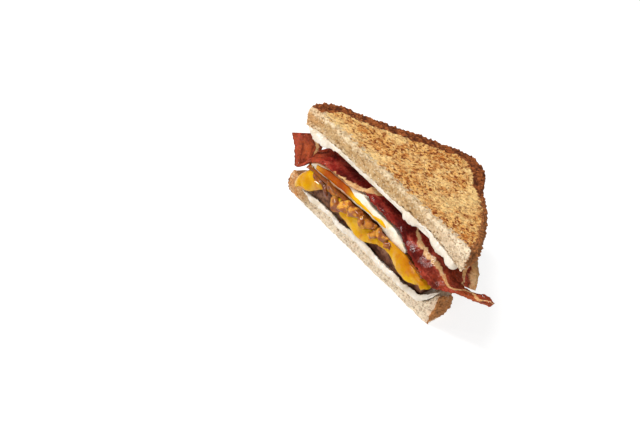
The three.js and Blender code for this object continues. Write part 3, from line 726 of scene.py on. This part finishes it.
# Patty
patty = {
    "left": -54, "right": 51, "cutY": 1.1, "apex": (-2, 66), "corner": 30, "rough": 0.45,
    "floor": 12.0, "top": 24.0, "edgeRound": 3.4, "cutRound": 0.9,
    "crumbSize": 3.4, "crumbHigh": 1.1, "fineSize": 1.3, "fineHigh": 0.45,
}


def flat(height):  # a face at one height
    return lambda x, y: height + 0 * x


def makePatty(material):
    line = outline(patty, 0.45, 1.5)
    edgeRound, floor, top = patty["edgeRound"], patty["floor"], patty["top"]
    soft = np.where(line["cut"] > 0, lerp(patty["cutRound"], edgeRound, line["tip"]), edgeRound)
    knots = [(-drawnIn * soft, flat(lerp(top, floor, share))) for drawnIn, share in roundedEdge]
    points, faces = layerShape(line, knots, flat(floor), flat(top), 34)
    piece = addMesh("patty_seared", points, faces, material)
    normals = normalsOf(piece.data)
    far, own = grains(points * (1, 1, 1.3), patty["crumbSize"], 31)
    farFine, ownFine = grains(points, patty["fineSize"], 32)
    off = patty["crumbHigh"] * (0.35 - far) * (0.5 + own) + patty["fineHigh"] * (0.4 - farFine) * ownFine
    off += 0.4 * lumps(points, 7, 33)
    movePoints(piece.data, points + normals * off[:, None])
    giveValues(piece.data, "crumbTone", own)
    # where the surface sinks between the mince crumbs, for the painted shade in the crevices
    giveValues(piece.data, "creviceShade", smooth(far, 0.45, 0.85))
    return piece


def makePattyFinish():
    material, tree, shader = startMaterial("friedPatty", {"Specular IOR Level": 0.2})
    toneAndShade, creviceShade = valueOf(tree, "crumbTone"), valueOf(tree, "creviceShade")
    colour = blend(tree, toneAndShade, paint(132, 84, 62), paint(92, 52, 36))
    broad = mottled(tree, 110, 5, 0.52, 0.12)
    colour = blend(tree, times(tree, broad, 0.6), colour, paint(156, 114, 88))
    bits = scattered(tree, 800, 1.0, 0.45, 0.5)
    colour = blend(tree, times(tree, bits["Mask"], 0.5), colour, paint(70, 44, 36))
    # painted shade in the crevices between the mince crumbs
    colour = blend(tree, times(tree, creviceShade, 0.7), colour, paint(66, 36, 26))
    tree.links.new(colour, shader.inputs["Base Color"])
    skin = wetSkin(tree, shader, 500, 0.75, 0.38)
    bumpFrom(tree, shader, plus(tree, skin, bits["Mask"]), 0.0005, 0.7)
    return material


finishPiece(makePatty(makePattyFinish()), "patty")

# Cheese: a melted sheet that hangs over the patty's edge
cheese = {
    "left": -57, "right": 51.5, "cutY": 0.2, "apex": (-3, 66), "corner": 24,
    "floor": 24.4, "top": 26.4,
    # how far the sheet hangs below its upper face, along the cut and as shares of the way round the sides
    "cutDrop": [
        (-62, 5), (-59, 7.4), (-55, 9.6), (-50, 10.6), (-46, 9.4), (-42, 5.6), (-38, 1.8), (-34, 0.9),
        (-30, 0.8), (-26, 2.2), (-22, 5.8), (-18, 7.4), (-11, 8.2), (-6, 9.6), (-2, 10.2), (3, 8.8),
        (8, 6.6), (13, 4), (18, 2.6), (22, 2.6), (26, 3.6), (30, 5), (34, 6.2), (42, 6.4), (47, 5),
        (52, 3), (56, 2),
    ],
    "sideDrop": [
        (0, 0.06, 3.5), (0.22, 0.09, 5), (0.5, 0.07, 7.5), (0.8, 0.07, 5.5), (1, 0.06, 8),
    ],
    # how far its upper edge stands up, and how much thicker the hanging edge is
    "lift": [
        (-60, 0), (-52, 1.2), (-47, 1), (-42, 0), (14, 0), (18, 2.4), (22, 3), (26, 3), (30, 3.4),
        (34, 3.2), (38, 2.2), (42, 1.2), (47, 0), (54, -1),
    ],
    "stout": [(-60, 1.6), (-50, 1.6), (-42, 0), (18, 0), (26, 0.8), (34, 1.8), (44, 2), (52, 1.2)],
    "droop": {"from": -50, "to": -62, "fall": 8},  # the left corner hangs over the end of the patty
}


def droop(x):
    end = cheese["droop"]
    return end["fall"] * smooth(x, end["from"], end["to"])


def makeCheese(material):
    line = outline(cheese, 0.42, 1.1)
    x, onCut = line["x"], line["cutSoft"]
    shares = line["share"][:, None]
    at, width, drop = (np.array([d[i] for d in cheese["sideDrop"]]) for i in range(3))
    sideDrop = 0.9 + (hump(shares, at, width) @ drop) + 0.5 * uneven(40 * line["share"], 2)
    cutDrop = drawnLine(cheese["cutDrop"])(x) + 0.3 * uneven(0.5 * x, 6)
    drop = lerp(sideDrop, cutDrop, onCut)
    lift = drawnLine(cheese["lift"], 2.5)(x) * onCut
    bulge = 0.5 * np.minimum(1, drop / 6) + drawnLine(cheese["stout"], 2)(x) * onCut
    top, floor = cheese["top"], cheese["floor"]

    def level(heights):
        return lambda px, py: heights - droop(px)

    knots = [
        (-0.6, level(top)),
        (1.5 + 0.35 * np.maximum(0, lift), level(top - 0.25 + lift)),
        (2.6 + bulge, level(top - 0.8 - 0.35 * drop + 0.7 * lift)),
        (2.7 + bulge, level(top - 1.2 - 0.75 * drop)),
        (1.9 + bulge, level(top - 1.6 - drop)),
        (1.0 + 0.5 * bulge, level(floor - 0.1 - 0.75 * drop)),
        (0.7, level(floor - 0.35 * np.maximum(0, drop - 0.5))),
        (0.5, level(floor)),
    ]
    points, faces = layerShape(line, knots, level(floor), level(top), 34)
    piece = addMesh("cheese_melted", points, faces, material)
    normals = normalsOf(piece.data)
    off = 0.45 * lumps(points, 5.5, 41) + 0.15 * lumps(points, 2.3, 42)
    movePoints(piece.data, points + normals * off[:, None])
    giveValues(piece.data, "hang", np.clip((top - points[:, 2]) / 10, -0.3, 1))
    giveValues(piece.data, "along", points[:, 0])
    return piece


def makeCheeseFinish():
    material, tree, shader = startMaterial("meltedCheese", {
        "Subsurface Weight": 0.25, "Subsurface Radius": (1.0, 0.6, 0.1), "Subsurface Scale": 0.002,
        "Specular IOR Level": 0.04, "Coat Roughness": 0.06})
    hang = valueOf(tree, "hang")
    broad = mottled(tree, 85, 4, 0.5, 0.16)
    colour = blend(tree, broad, paint(208, 160, 12), paint(188, 128, 4))
    colour = blend(tree, between(tree, hang, 0.5, 1.05, 0.6), colour, paint(208, 156, 6))
    brown = mottled(tree, 240, 4, 0.62, 0.08)
    colour = blend(tree, times(tree, brown, 0.5), colour, paint(178, 92, 20))
    # bacon fat has browned it towards the right
    along = valueOf(tree, "along")
    stained = times(tree, between(tree, along, 24, 38), between(tree, hang, 0.42, 0.12))
    patchy = mottled(tree, 150, 3, 0.42, 0.16)
    colour = blend(tree, times(tree, stained, times(tree, patchy, 0.6)), colour, paint(172, 88, 18))
    tree.links.new(colour, shader.inputs["Base Color"])
    greasy = mottled(tree, 210, 3, 0.55, 0.07)
    coat = plus(tree, times(tree, greasy, 0.6), 0.03)
    tree.links.new(coat, shader.inputs["Coat Weight"])
    bumpFrom(tree, shader, wetSkin(tree, shader, 230, 0.34, 0.14), 0.0009, 0.8)
    return material


finishPiece(makeCheese(makeCheeseFinish()), "cheese")

# Egg: the white, and the yolk that shows in the cut
egg = {
    "white": {"left": -54.5, "right": 32, "cutY": -1.0, "apex": (-11, 64), "corner": 20, "rough": 0.7},
    "yolk": {"left": -50, "right": 13, "cutY": -1.5, "apex": (-20, 40), "corner": 16},
    "floor": 29.3, "top": 35.2,
    "whiteRound": (0.5, 2.2), "yolkRound": (0.3, 1.2),  # at the cut and round the sides
    # where each shows at the cut: its upper and lower edge
    "whiteUpper": [
        (-58, 26.5), (-54, 30.1), (-49.5, 33), (-44.4, 34), (-37.8, 35), (-29.5, 35.6), (-17.3, 36.6),
        (-9, 37.4), (-4.5, 35.8), (3, 35.6), (12, 35.8), (19.2, 35.4), (26.4, 32.4), (30.1, 30.6),
        (34, 29.6),
    ],
    "whiteLower": [
        (-58, 25.6), (-52.2, 26.4), (-37, 28), (-24.4, 28.9), (-10.2, 30), (5.6, 30.8), (12.3, 28.8),
        (28.2, 27.4), (34, 27.4),
    ],
    "yolkUpper": [
        (-52, 30.6), (-48, 31.9), (-44, 33), (-38, 34.4), (-29, 35), (-21, 35.2), (-16, 33.8),
        (-10, 33.4), (-5, 33.2), (0, 32.6), (4, 33.4), (8, 34.4), (11, 33.8), (14, 32.6), (20, 32),
    ],
    "yolkLower": [
        (-52, 28.6), (-44, 29), (-37, 29.5), (-28, 30.2), (-20, 30.8), (-12, 31.2), (-4, 31.5),
        (1, 31.9), (5, 31.6), (10, 31.8), (14, 32), (20, 31),
    ],
}


def eggDroop(x):  # its left end bends down over the cheese
    return 3 * smooth(x, -50, -55)


def eggFloor(x, y=0):
    return egg["floor"] + 0.7 * uneven(0.16 * x, 4) - 0.8 * eggDroop(x)


def eggTop(x, y=0):
    ends = 3.2 * smooth(x, -24, -54.5) + 2.2 * smooth(x, 20, 32)
    return egg["top"] - ends + 0.35 * uneven(0.2 * x, 9) - eggDroop(x)


def yolkFloor(x, y=0):
    return lerp(eggFloor(x) + 0.9, eggTop(x) - 3.6, smooth(x, -30, -8))


def yolkTop(x, y=0):
    return eggTop(x) - lerp(0.9, 2.2, smooth(x, -34, -14)) + 0.9 * hump(x, 9, 5)


def makeEggLayer(name, which, lower, upper, material):
    line = outline(egg[which], 0.4, 0.8)
    lowLine, highLine = (drawnLine(egg[which + end], 1.6) for end in ("Lower", "Upper"))
    cutY = egg[which]["cutY"]

    def low(x, y):
        return lerp(lowLine(x), lower(x, y), smooth(y, cutY + 2, cutY + 9))

    def high(x, y):
        return lerp(highLine(x), upper(x, y), smooth(y, cutY + 2, cutY + 9))

    atCut, atSides = egg[which + "Round"]
    softness = lerp(atSides, atCut, line["cutSoft"])
    knots = [(-drawnIn * softness, lambda x, y, f=f: lerp(high(x, y), low(x, y), f))
             for drawnIn, f in roundedEdge]
    points, faces = layerShape(line, knots, low, high, 22)
    piece = addMesh(name, points, faces, material)
    normals = normalsOf(piece.data)
    off = 0.3 * lumps(points, 3.0, 51) + 0.12 * lumps(points, 1.3, 52)
    movePoints(piece.data, points + normals * off[:, None])
    x, y, z = points.T
    giveValues(piece.data, "along", x)
    giveValues(piece.data, "fringe", 1 - smooth(np.minimum(z - low(x, y), high(x, y) - z), 0.3, 1.5))
    return piece


def makeEggFinish():
    material, tree, shader = startMaterial("cookedEggWhite", {
        "Subsurface Weight": 0.2, "Subsurface Radius": (1.0, 0.9, 0.75), "Subsurface Scale": 0.0018,
        "Specular IOR Level": 0.1, "Coat Weight": 0.06, "Coat Roughness": 0.12})
    cloud = mottled(tree, 150, 4, 0.54, 0.14)
    colour = blend(tree, cloud, paint(236, 226, 208), paint(216, 200, 172))
    stain = mottled(tree, 210, 3, 0.63, 0.08)
    colour = blend(tree, times(tree, stain, 0.6), colour, paint(224, 196, 130))
    browned = times(tree, valueOf(tree, "fringe"), between(tree, valueOf(tree, "along"), -12, -24))
    colour = blend(tree, times(tree, browned, 0.9), colour, paint(176, 104, 44))
    tree.links.new(colour, shader.inputs["Base Color"])
    bumpFrom(tree, shader, wetSkin(tree, shader, 480, 0.42, 0.2), 0.0004, 0.6)
    return material


def makeYolkFinish():
    material, tree, shader = startMaterial("softYolk", {
        "Subsurface Weight": 0.15, "Subsurface Radius": (1.0, 0.5, 0.05), "Subsurface Scale": 0.0015,
        "Specular IOR Level": 0.03, "Coat Weight": 0.1, "Coat Roughness": 0.03})
    along = valueOf(tree, "along")
    # deep orange towards the left: partly the yolk's own colour under a thin film of white, partly painted
    # shade and a painted red reflection of the bacon above
    colour = blend(tree, between(tree, along, -24, -14), paint(158, 66, 0), paint(228, 172, 2))
    paler = between(tree, along, -50, -40)
    colour = blend(tree, paler, paint(208, 142, 36), colour)
    runny = mottled(tree, 190, 4, 0.54, 0.14)
    colour = blend(tree, times(tree, runny, 0.5), colour, paint(190, 104, 4))
    tree.links.new(colour, shader.inputs["Base Color"])
    bumpFrom(tree, shader, wetSkin(tree, shader, 330, 0.4, 0.16), 0.0005, 0.6)
    return material


white = makeEggLayer("egg_white_fried", "white", eggFloor, eggTop, makeEggFinish())
finishPiece(white, "egg_white")
yolk = makeEggLayer("egg_yolk_soft", "yolk", yolkFloor, yolkTop, makeYolkFinish())
finishPiece(yolk, "egg_yolk")

# Onions: a thin bed with loose pieces on its edge
onions = {
    "bed": {"left": -52, "right": 47, "cutY": -2.6, "apex": (-3, 62), "corner": 20, "rough": 0.5},
    "floor": 26.8, "middle": 27.4, "top": 28.2,
    "around": 30, "long": 8, "wide": 5.6, "thick": 2.7,  # loose pieces round the sides
    # along the cut, height, how far in; length, width, thickness; turn in degrees; tone, amber 0 to dark 1
    # the three pieces at the left end are darkest: partly browner frying, partly painted shade where they
    # lie below the egg
    "hung": [(-43.5, 26, -3.4, 13, 2.8, 1.6, -4, 0.9), (-31.5, 26.6, -3.6, 15, 2.8, 1.6, 4, 0.85),
             (-36, 24.4, -3.4, 8, 3, 1.5, -28, 0.95), (-26, 23.2, -4.2, 12, 5.6, 1.5, -56, 0.4),
             (-18.5, 25.2, -4.3, 10, 7, 1.7, 12, 0.12), (-10, 27.4, -4, 11, 6, 2.2, 24, 0.3),
             (-2.5, 25.4, -4.4, 8, 4.4, 2, -22, 0.3), (3.5, 28, -3.8, 9, 4.4, 2.8, 22, 0.65),
             (8.5, 25.2, -4.4, 7, 3.8, 2.2, 36, 0.4), (13.5, 27.6, -3.8, 10, 4, 2.8, -20, 0.3),
             (20, 26.2, -3.4, 6, 3.4, 2.2, 30, 0.5)],
}


# One piece: a boxy lump, ribbed, bent, twisted and tapered by its seed, then turned and put in its place.
def onionChunk(long, wide, thick, turn, lean, place, seed):
    across, slices = 34, 18
    u = np.linspace(0, 2 * math.pi, across, endpoint=False)
    v = np.linspace(-0.5 * math.pi, 0.5 * math.pi, slices + 2)[1:-1]

    def squared(value, power):
        return np.sign(value) * abs(value) ** power

    rings = []
    for b in v[::-1]:
        r = squared(np.cos(b), 0.35)
        rings.append(np.column_stack([r * squared(np.cos(u), 0.45), r * squared(np.sin(u), 0.55),
                                      np.full(across, np.sin(b))]))
    points, faces = ringShape(rings, (0, 0, 1), (0, 0, -1))
    stripe = points[:, 1] + 0.3 * np.sin(3 * points[:, 0] + seed)
    bend = 0.16 * long * points[:, 0] ** 2 + 0.14 * wide * points[:, 1] ** 2
    twist = 0.22 * math.sin(3.7 * seed) * points[:, 0] * points[:, 1]
    taper = 1 - 0.25 * points[:, 0] * math.cos(seed)
    points = points * (0.5 * long, 0.5 * wide, 0.5 * thick)
    points[:, 1] *= taper
    points[:, 2] += 0.12 * np.sin(11 * stripe)
    points[:, 1] += 0.16 * long * math.sin(2.3 * seed) * (points[:, 0] / long * 2) ** 2
    points[:, 2] += wide * twist - bend
    points += 0.6 * lumps(points + 40 * seed, 2.4, 60 + seed)[:, None] * (0.9, 0.9, 0.8)
    points += 0.2 * lumps(points + 40 * seed, 1.0, 61 + seed)[:, None] * (0.6, 0.6, 1)
    spin = Matrix.Rotation(math.radians(turn), 3, "Z")
    aboutX, aboutY, aboutZ = (Matrix.Rotation(angle, 3, axis) for angle, axis in zip(lean, "XYZ"))
    return points @ np.array(aboutX @ aboutY @ aboutZ @ spin).T + place, faces, stripe


def makeOnions(material):
    parts = []  # points, faces, stripes and tone of each piece
    bedLine = outline(onions["bed"], 0.8, 1.2)
    floor, top = flat(onions["floor"]), flat(onions["top"])
    knots = [(0, top), (0.5, flat(onions["middle"])), (0, floor)]
    points, faces = layerShape(bedLine, knots, floor, top, 8)
    points = points + 0.4 * lumps(points, 3.5, 71)[:, None] * (0.5, 1, 0.4)
    parts.append((points, faces, 0.2 * points[:, 0], 0.7))
    for i, (x, z, y, long, wide, thick, turn, toneAndShade) in enumerate(onions["hung"]):
        lean = (math.pi / 2 - 0.3, 0, 0.16 * math.sin(5 * i))
        parts.append((*onionChunk(long, wide, thick, turn, lean, (x, y, z), i), toneAndShade))
    sideAt = bedLine["at"][bedLine["cut"] == 0]
    for i in range(onions["around"]):
        x, y = sideAt[int((i + 0.5) / onions["around"] * len(sideAt))]
        long = onions["long"] * (0.85 + 0.3 * math.sin(7 * i))
        lean = (0.4 * math.sin(3 * i), 0.3 * math.sin(5 * i), 2.4 * i)
        place = (x, y, onions["middle"] - 0.2 + 0.5 * math.sin(4 * i))
        chunk = onionChunk(long, onions["wide"], onions["thick"], 0, lean, place, 40 + i)
        parts.append((*chunk, 0.5 + 0.4 * math.sin(11 * i)))
    allPoints, allFaces, stripes, tones = [], [], [], []
    for points, faces, stripe, toneAndShade in parts:
        shift = sum(len(p) for p in allPoints)
        allPoints.append(points)
        allFaces.extend(tuple(i + shift for i in face) for face in faces)
        stripes.append(stripe)
        tones.append(np.full(len(points), toneAndShade))
    values = {"toneAndShade": np.concatenate(tones), "stripe": np.concatenate(stripes)}
    return addMesh("onions_fried", np.vstack(allPoints), allFaces, material, values)


def makeOnionFinish():
    material, tree, shader = startMaterial("friedOnion", {
        "Subsurface Weight": 0.5, "Subsurface Radius": (1.0, 0.45, 0.1), "Subsurface Scale": 0.003,
        "Specular IOR Level": 0.08, "Coat Roughness": 0.04})
    toneAndShade, stripe = valueOf(tree, "toneAndShade"), valueOf(tree, "stripe")
    patch = mottled(tree, 260, 4, 0.5, 0.1)
    light = blend(tree, patch, paint(230, 170, 70), paint(158, 84, 18))
    dark = blend(tree, patch, paint(140, 68, 20), paint(72, 28, 8))
    colour = blend(tree, toneAndShade, light, dark)
    veins = mathNode(tree, "SINE", times(tree, stripe, 19))
    colour = blend(tree, between(tree, veins, 0.1, 1, 0.5), colour, paint(150, 80, 24))
    rim = between(tree, mathNode(tree, "ABSOLUTE", stripe), 0.55, 1.05, 0.75)
    colour = blend(tree, rim, colour, paint(120, 58, 18))
    seared = mottled(tree, 300, 3, 0.64, 0.07)
    colour = blend(tree, times(tree, seared, 0.6), colour, paint(92, 40, 14))
    tree.links.new(colour, shader.inputs["Base Color"])
    juicy = mottled(tree, 260, 3, 0.52, 0.07)
    coat = plus(tree, times(tree, juicy, 0.8), 0.06)
    tree.links.new(coat, shader.inputs["Coat Weight"])
    bumpFrom(tree, shader, wetSkin(tree, shader, 300, 0.4, 0.2), 0.0004, 0.5)
    return material


finishPiece(makeOnions(makeOnionFinish()), "onions")

# Bacon: four strips. Each row is a point of the front edge and one of the back edge. Fat lines and tones
# have one number for each row: where the line lies from front (0) to back (1), its half width, and the tone
# from deep red (0) to fried brown (1), or down to a painted maroon shade (-1) where the strip lies in the
# shade under the upper slice. "stout" makes a row thicker.
bacon = {
    "thick": 1.9,
    "folded": {
        "rows": [
            [-78, 1, 34.2, -63.5, 7, 42.4], [-72, 0.5, 27.4, -58.5, 8, 38],
            [-65.5, -0.5, 19.8, -57.5, 6, 29], [-56.8, -2, 27.8, -55.5, 6.5, 36.5],
            [-50.8, -3, 32.7, -49.5, 9, 42.2], [-42, -3.2, 36.2, -41, 15, 44.4],
            [-29, -3, 37.3, -28, 18, 44.6], [-17, -2.4, 38.1, -16, 20, 44.2],
            [-6, 5, 38.8, -5, 24, 42.4], [8, 18, 39, 7, 30, 41],
        ],
        "fat": [([0.8, 0.8, 0.9, 1, 1.1, 1.1, 0.9, 0.8, 0.8, 0.8],
                 [0.06, 0.06, 0.06, 0.06, 0.06, 0.06, 0.08, 0.1, 0.1, 0.1]),
                ([-0.1, -0.1, -0.1, -0.1, -0.1, -0.08, -0.04, 0.03, 0.05, 0],
                 [0.03, 0.03, 0.03, 0.03, 0.04, 0.05, 0.08, 0.12, 0.1, 0.1])],
        "toneAndShade": [0.9, 0.8, 0.6, 0.5, 0.4, -0.1, -0.7, -0.4, 0.3, 0.3],
    },
    "long": {
        "rows": [
            [-11, -1.2, 40.2, -9, 1.6, 44.4], [-2, -1.5, 38.8, 0, 10, 44.2], [10, -1.5, 38.2, 12, 13, 44],
            [22, -1.6, 37.8, 24, 13.5, 43.6], [31, -2.5, 33.8, 34, 13, 43.2], [41, -3.4, 30.6, 44, 12, 42],
            [51, -3.8, 27.6, 54, 10.5, 39.6], [60, -2.4, 26.4, 60.5, 9, 35.4], [67, 2, 28.8, 67, 9.2, 32.8],
            [73.5, 7, 29.6, 74.5, 11, 32.6], [80.5, 9.4, 31, 81.5, 13.6, 35.2],
            [87, 12.2, 32.8, 87.6, 14.6, 35],
        ],
        "fat": [([0.5, 0.75, 0.9, 0.7, 0.46, 0.45, 0.54, 0.52, 0.3, 0.8, 0.2, 0.7],
                 [0.5, 0.14, 0.03, 0.04, 0.08, 0.1, 0.08, 0.06, 0.08, 0.12, 0.12, 0.1])],
        "toneAndShade": [0.3, -0.3, -0.5, -0.4, 0, 0.1, 0.25, 0.45, 0.6, 0.9, 1, 1],
        "stout": [1, 1, 1, 1, 1, 1, 1, 1, 1.2, 1.5, 2.2, 2.6],
    },
    "right": {
        "rows": [
            [12, 20, 40.6, 16, 42, 40.4], [30, 19, 42, 35, 38, 42], [46, 16.5, 42, 54, 28, 41.2],
            [52, 13.6, 40.2, 65, 20.5, 40], [54, 13.2, 33.5, 70, 17.6, 35.8],
            [57, 13.4, 26.5, 71, 17, 30.2],
        ],
        "fat": [([1, 1, 1, 1, 0.95, 0.95], [0.3, 0.3, 0.34, 0.32, 0.26, 0.26]),
                ([0.5, 0.5, 0.5, 0.5, 0.5, 0.5], [0.04, 0.04, 0.04, 0.05, 0.05, 0.05])],
        "toneAndShade": [0.4, 0.4, 0.4, 0.4, 0.5, 0.6],
    },
    "back": {
        "rows": [
            [-44, 28, 39.5, -40, 42, 40.5], [-32, 26, 42, -26, 45, 42], [-18, 30, 40.6, -16, 51, 40.6],
            [-5, 33, 42.4, -3, 55, 42], [7, 36, 40.8, 8, 57, 40.6],
        ],
        "fat": [([0.7, 0.75, 0.7, 0.65, 0.7], [0.1, 0.12, 0.14, 0.1, 0.1]), ([1, 1, 1, 1, 1], [0.06] * 5)],
        "toneAndShade": [0.5, 0.4, 0.3, 0.4, 0.6],
    },
}


def makeBacon(name, strip, seed, material):
    rows = strip["rows"]
    stages, across = 26 * (len(rows) - 1), 26
    t = np.linspace(0, 1, stages + 1)
    k = t * 4 * (len(rows) - 1)
    edges = through(rows, t)
    front, back = edges[:, :3], edges[:, 3:]
    middle = 0.5 * (front + back)
    reach = back - front
    normal = np.cross(np.gradient(middle, axis=0), reach)
    normal /= np.linalg.norm(normal, axis=1)[:, None]
    way = reach / np.linalg.norm(reach, axis=1)[:, None]
    run = np.concatenate([[0], np.cumsum(np.linalg.norm(np.diff(middle, axis=0), axis=1))])
    front = front - way * (0.45 * uneven(0.8 * run, seed) + 0.2 * uneven(2.1 * run, seed + 1))[:, None]
    back = back + way * (0.45 * uneven(0.7 * run, seed + 2) + 0.2 * uneven(1.9 * run, seed + 3))[:, None]
    fade = np.minimum(k, k[-1] - k)
    half = 0.5 * bacon["thick"] * (0.3 + 0.7 * smooth(fade, 0, 1.2))
    half = half * through(np.array(strip.get("stout", [1, 1]), float), t)
    share = 0.5 - 0.5 * np.cos(np.linspace(0, math.pi, across))
    section = [(v, 1) for v in share[:-1]] + [(v, -1) for v in share[:0:-1]]
    rings = []
    for v, face in section:
        w = 2 * v - 1
        ripple = 0.3 * np.sin(1.1 * k + seed + 1.5 * v) * (1 - 0.3 * w * w)
        off = face * half * math.sqrt(max(0, 1 - abs(w) ** 4)) + ripple
        rings.append(front + (back - front) * v + normal * off[:, None])
    rings = np.stack(rings, 1)
    points, faces = ringShape(rings, middle[0], middle[-1])
    shades = baconShades(strip, seed, t, run, np.array([v for v, face in section]))
    piece = addMesh(name, points, faces, material, shades)
    normals = normalsOf(piece.data)
    off = 0.14 * lumps(points, 3.2, 80 + seed) + 0.1 * lumps(points, 1.1, 81 + seed)
    movePoints(piece.data, points + normals * off[:, None])
    return piece


# Fat, tone and streaks of a strip's points, at shares t and lengths run along it and shares across it.
def baconShades(strip, seed, t, run, across):
    fat = np.zeros((len(t), len(across)))
    wander = 0.03 * uneven(0.9 * run, seed + 5)[:, None]
    for centres, widths in strip["fat"]:
        centre, width = (through(np.array(numbers)[:, None], t) for numbers in (centres, widths))
        fat = np.maximum(fat, hump(across[None], centre + wander, width))
    toneAndShade = np.repeat(through(np.array(strip["toneAndShade"], float)[:, None], t), len(across), 1)
    where = np.broadcast_arrays(5 * across[None] + 9 * seed, 0.07 * run[:, None], 0 * fat)
    where = np.stack(where, 2).reshape(-1, 3)
    streak = (0.6 * lumps(where, 0.5, 90) + 0.4 * lumps(where, 0.22, 91)).reshape(fat.shape)

    def withEnds(values):
        return np.concatenate([[values[0].mean()], values.ravel(), [values[-1].mean()]])

    return {"fat": withEnds(fat), "toneAndShade": withEnds(toneAndShade), "streak": withEnds(streak)}


def makeBaconFinish():
    material, tree, shader = startMaterial("friedBacon", {
        "Subsurface Weight": 0.1, "Subsurface Radius": (1.0, 0.35, 0.2), "Subsurface Scale": 0.0012,
        "Specular IOR Level": 0.04, "Coat Roughness": 0.08})
    fat, toneAndShade = valueOf(tree, "fat"), valueOf(tree, "toneAndShade")
    patch = mottled(tree, 120, 5, 0.5, 0.15)
    red = blend(tree, patch, paint(134, 32, 24), paint(86, 12, 8))
    brown = blend(tree, patch, paint(170, 84, 44), paint(128, 50, 26))
    meat = blend(tree, toneAndShade, red, brown)
    fibre = mottled(tree, 600, 3, 0.6, 0.1)
    meat = blend(tree, times(tree, fibre, 0.3), meat, paint(184, 92, 70))
    streak = valueOf(tree, "streak")
    meat = blend(tree, between(tree, streak, 0.05, 0.6, 0.65), meat, paint(176, 72, 54))
    meat = blend(tree, between(tree, streak, -0.05, -0.6, 0.7), meat, paint(62, 8, 6))
    # painted shade: a negative tone darkens the meat to maroon where the strip lies in the shade under the
    # upper slice
    meat = blend(tree, between(tree, toneAndShade, 0, -1, 0.75), meat, paint(66, 8, 6))
    shift = mottled(tree, 260, 4, 0.5, 0.25)
    lard = blend(tree, shift, paint(222, 184, 134), paint(202, 146, 90))
    frayed = plus(tree, fat, times(tree, minus(tree, shift, 0.5), 0.4))
    colour = blend(tree, between(tree, frayed, 0.3, 0.65, 0.9), meat, lard)
    tree.links.new(colour, shader.inputs["Base Color"])
    skin = wetSkin(tree, shader, 520, 0.6, 0.35)
    grit = scattered(tree, 1100, 1.2, 0.5, 0.45)
    greasy = plus(tree, times(tree, grit["Mask"], 0.5), times(tree, patch, 0.12))
    tree.links.new(greasy, shader.inputs["Coat Weight"])
    bumpFrom(tree, shader, plus(tree, skin, times(tree, grit["Mask"], 0.7)), 0.001, 0.8)
    return material


baconFinish = makeBaconFinish()
for i, key in enumerate(("folded", "long", "right", "back")):
    finishPiece(makeBacon("bacon_strip_" + key, bacon[key], i, baconFinish), "bacon_" + key)

# Table, lights and camera
stage = {
    "floorWide": 6.0, "floorColour": (0.36, 0.36, 0.36, 1), "floorGlow": 0.8, "skyStrength": 0.35,
    "lights": [  # name, place in metres, width, power, tint
        ("keyLight", (-0.28, -0.42, 0.92), 0.4, 9.0, (1, 0.985, 0.965)),
        ("frontLight", (0.45, -1.0, 0.3), 0.2, 1.8, (1, 1, 1)),
        ("leftLight", (-0.45, -1.0, 0.27), 0.13, 2.2, (1, 1, 1)),
    ],
}


def makeStage():
    half = stage["floorWide"] / 2
    mesh = bpy.data.meshes.new("table")
    corners = [(x * half, y * half, 0) for x, y in ((-1, -1), (1, -1), (1, 1), (-1, 1))]
    mesh.from_pydata(corners, [], [(0, 1, 2, 3)])
    material = startMaterial("paleTable", {
        "Base Color": stage["floorColour"], "Roughness": 0.9, "Specular IOR Level": 0.1,
        "Emission Color": (1, 1, 1, 1), "Emission Strength": stage["floorGlow"]})[0]
    mesh.materials.append(material)
    floor = bpy.data.objects.new("table", mesh)
    bpy.context.scene.collection.objects.link(floor)
    sky = bpy.data.worlds.new("sky")
    sky.use_nodes = True
    background = sky.node_tree.nodes["Background"]
    background.inputs["Color"].default_value = (1, 1, 1, 1)
    background.inputs["Strength"].default_value = stage["skyStrength"]
    bpy.context.scene.world = sky
    for name, place, width, power, tint in stage["lights"]:
        lamp = bpy.data.lights.new(name, "AREA")
        lamp.shape, lamp.size, lamp.energy, lamp.color = "DISK", width, power, tint
        made = bpy.data.objects.new(name, lamp)
        away = Matrix.Translation(place)
        aim = (-away.translation).to_track_quat("-Z", "Y").to_matrix().to_4x4()
        made.matrix_world = away @ aim
        bpy.context.scene.collection.objects.link(made)


# The camera stands at the photograph's angle, rolled so that the cut runs down to the right. Its place is
# in metres, and its three directions are in the part's frame.
view = {
    "place": (0.538898, -0.704033, 0.52457),
    "right": (0.59262, 0.74201, 0.31341),
    "up": (-0.5812, 0.12451, 0.80418),
    "back": (0.55769, -0.65873, 0.50504),
    "lens": 101.25, "sensor": 36,
}


def makeCamera():
    optics = bpy.data.cameras.new("camera")
    optics.lens, optics.sensor_width, optics.sensor_fit = view["lens"], view["sensor"], "HORIZONTAL"
    optics.clip_start, optics.clip_end = 0.01, 20
    camera = bpy.data.objects.new("camera", optics)
    turn = Matrix((view["right"], view["up"], view["back"])).transposed()
    camera.matrix_world = Matrix.Translation(view["place"]) @ turn.to_4x4()
    bpy.context.scene.collection.objects.link(camera)
    bpy.context.scene.camera = camera


makeStage()
makeCamera()
bpy.context.scene.view_settings.view_transform = "Standard"
print("stage set")
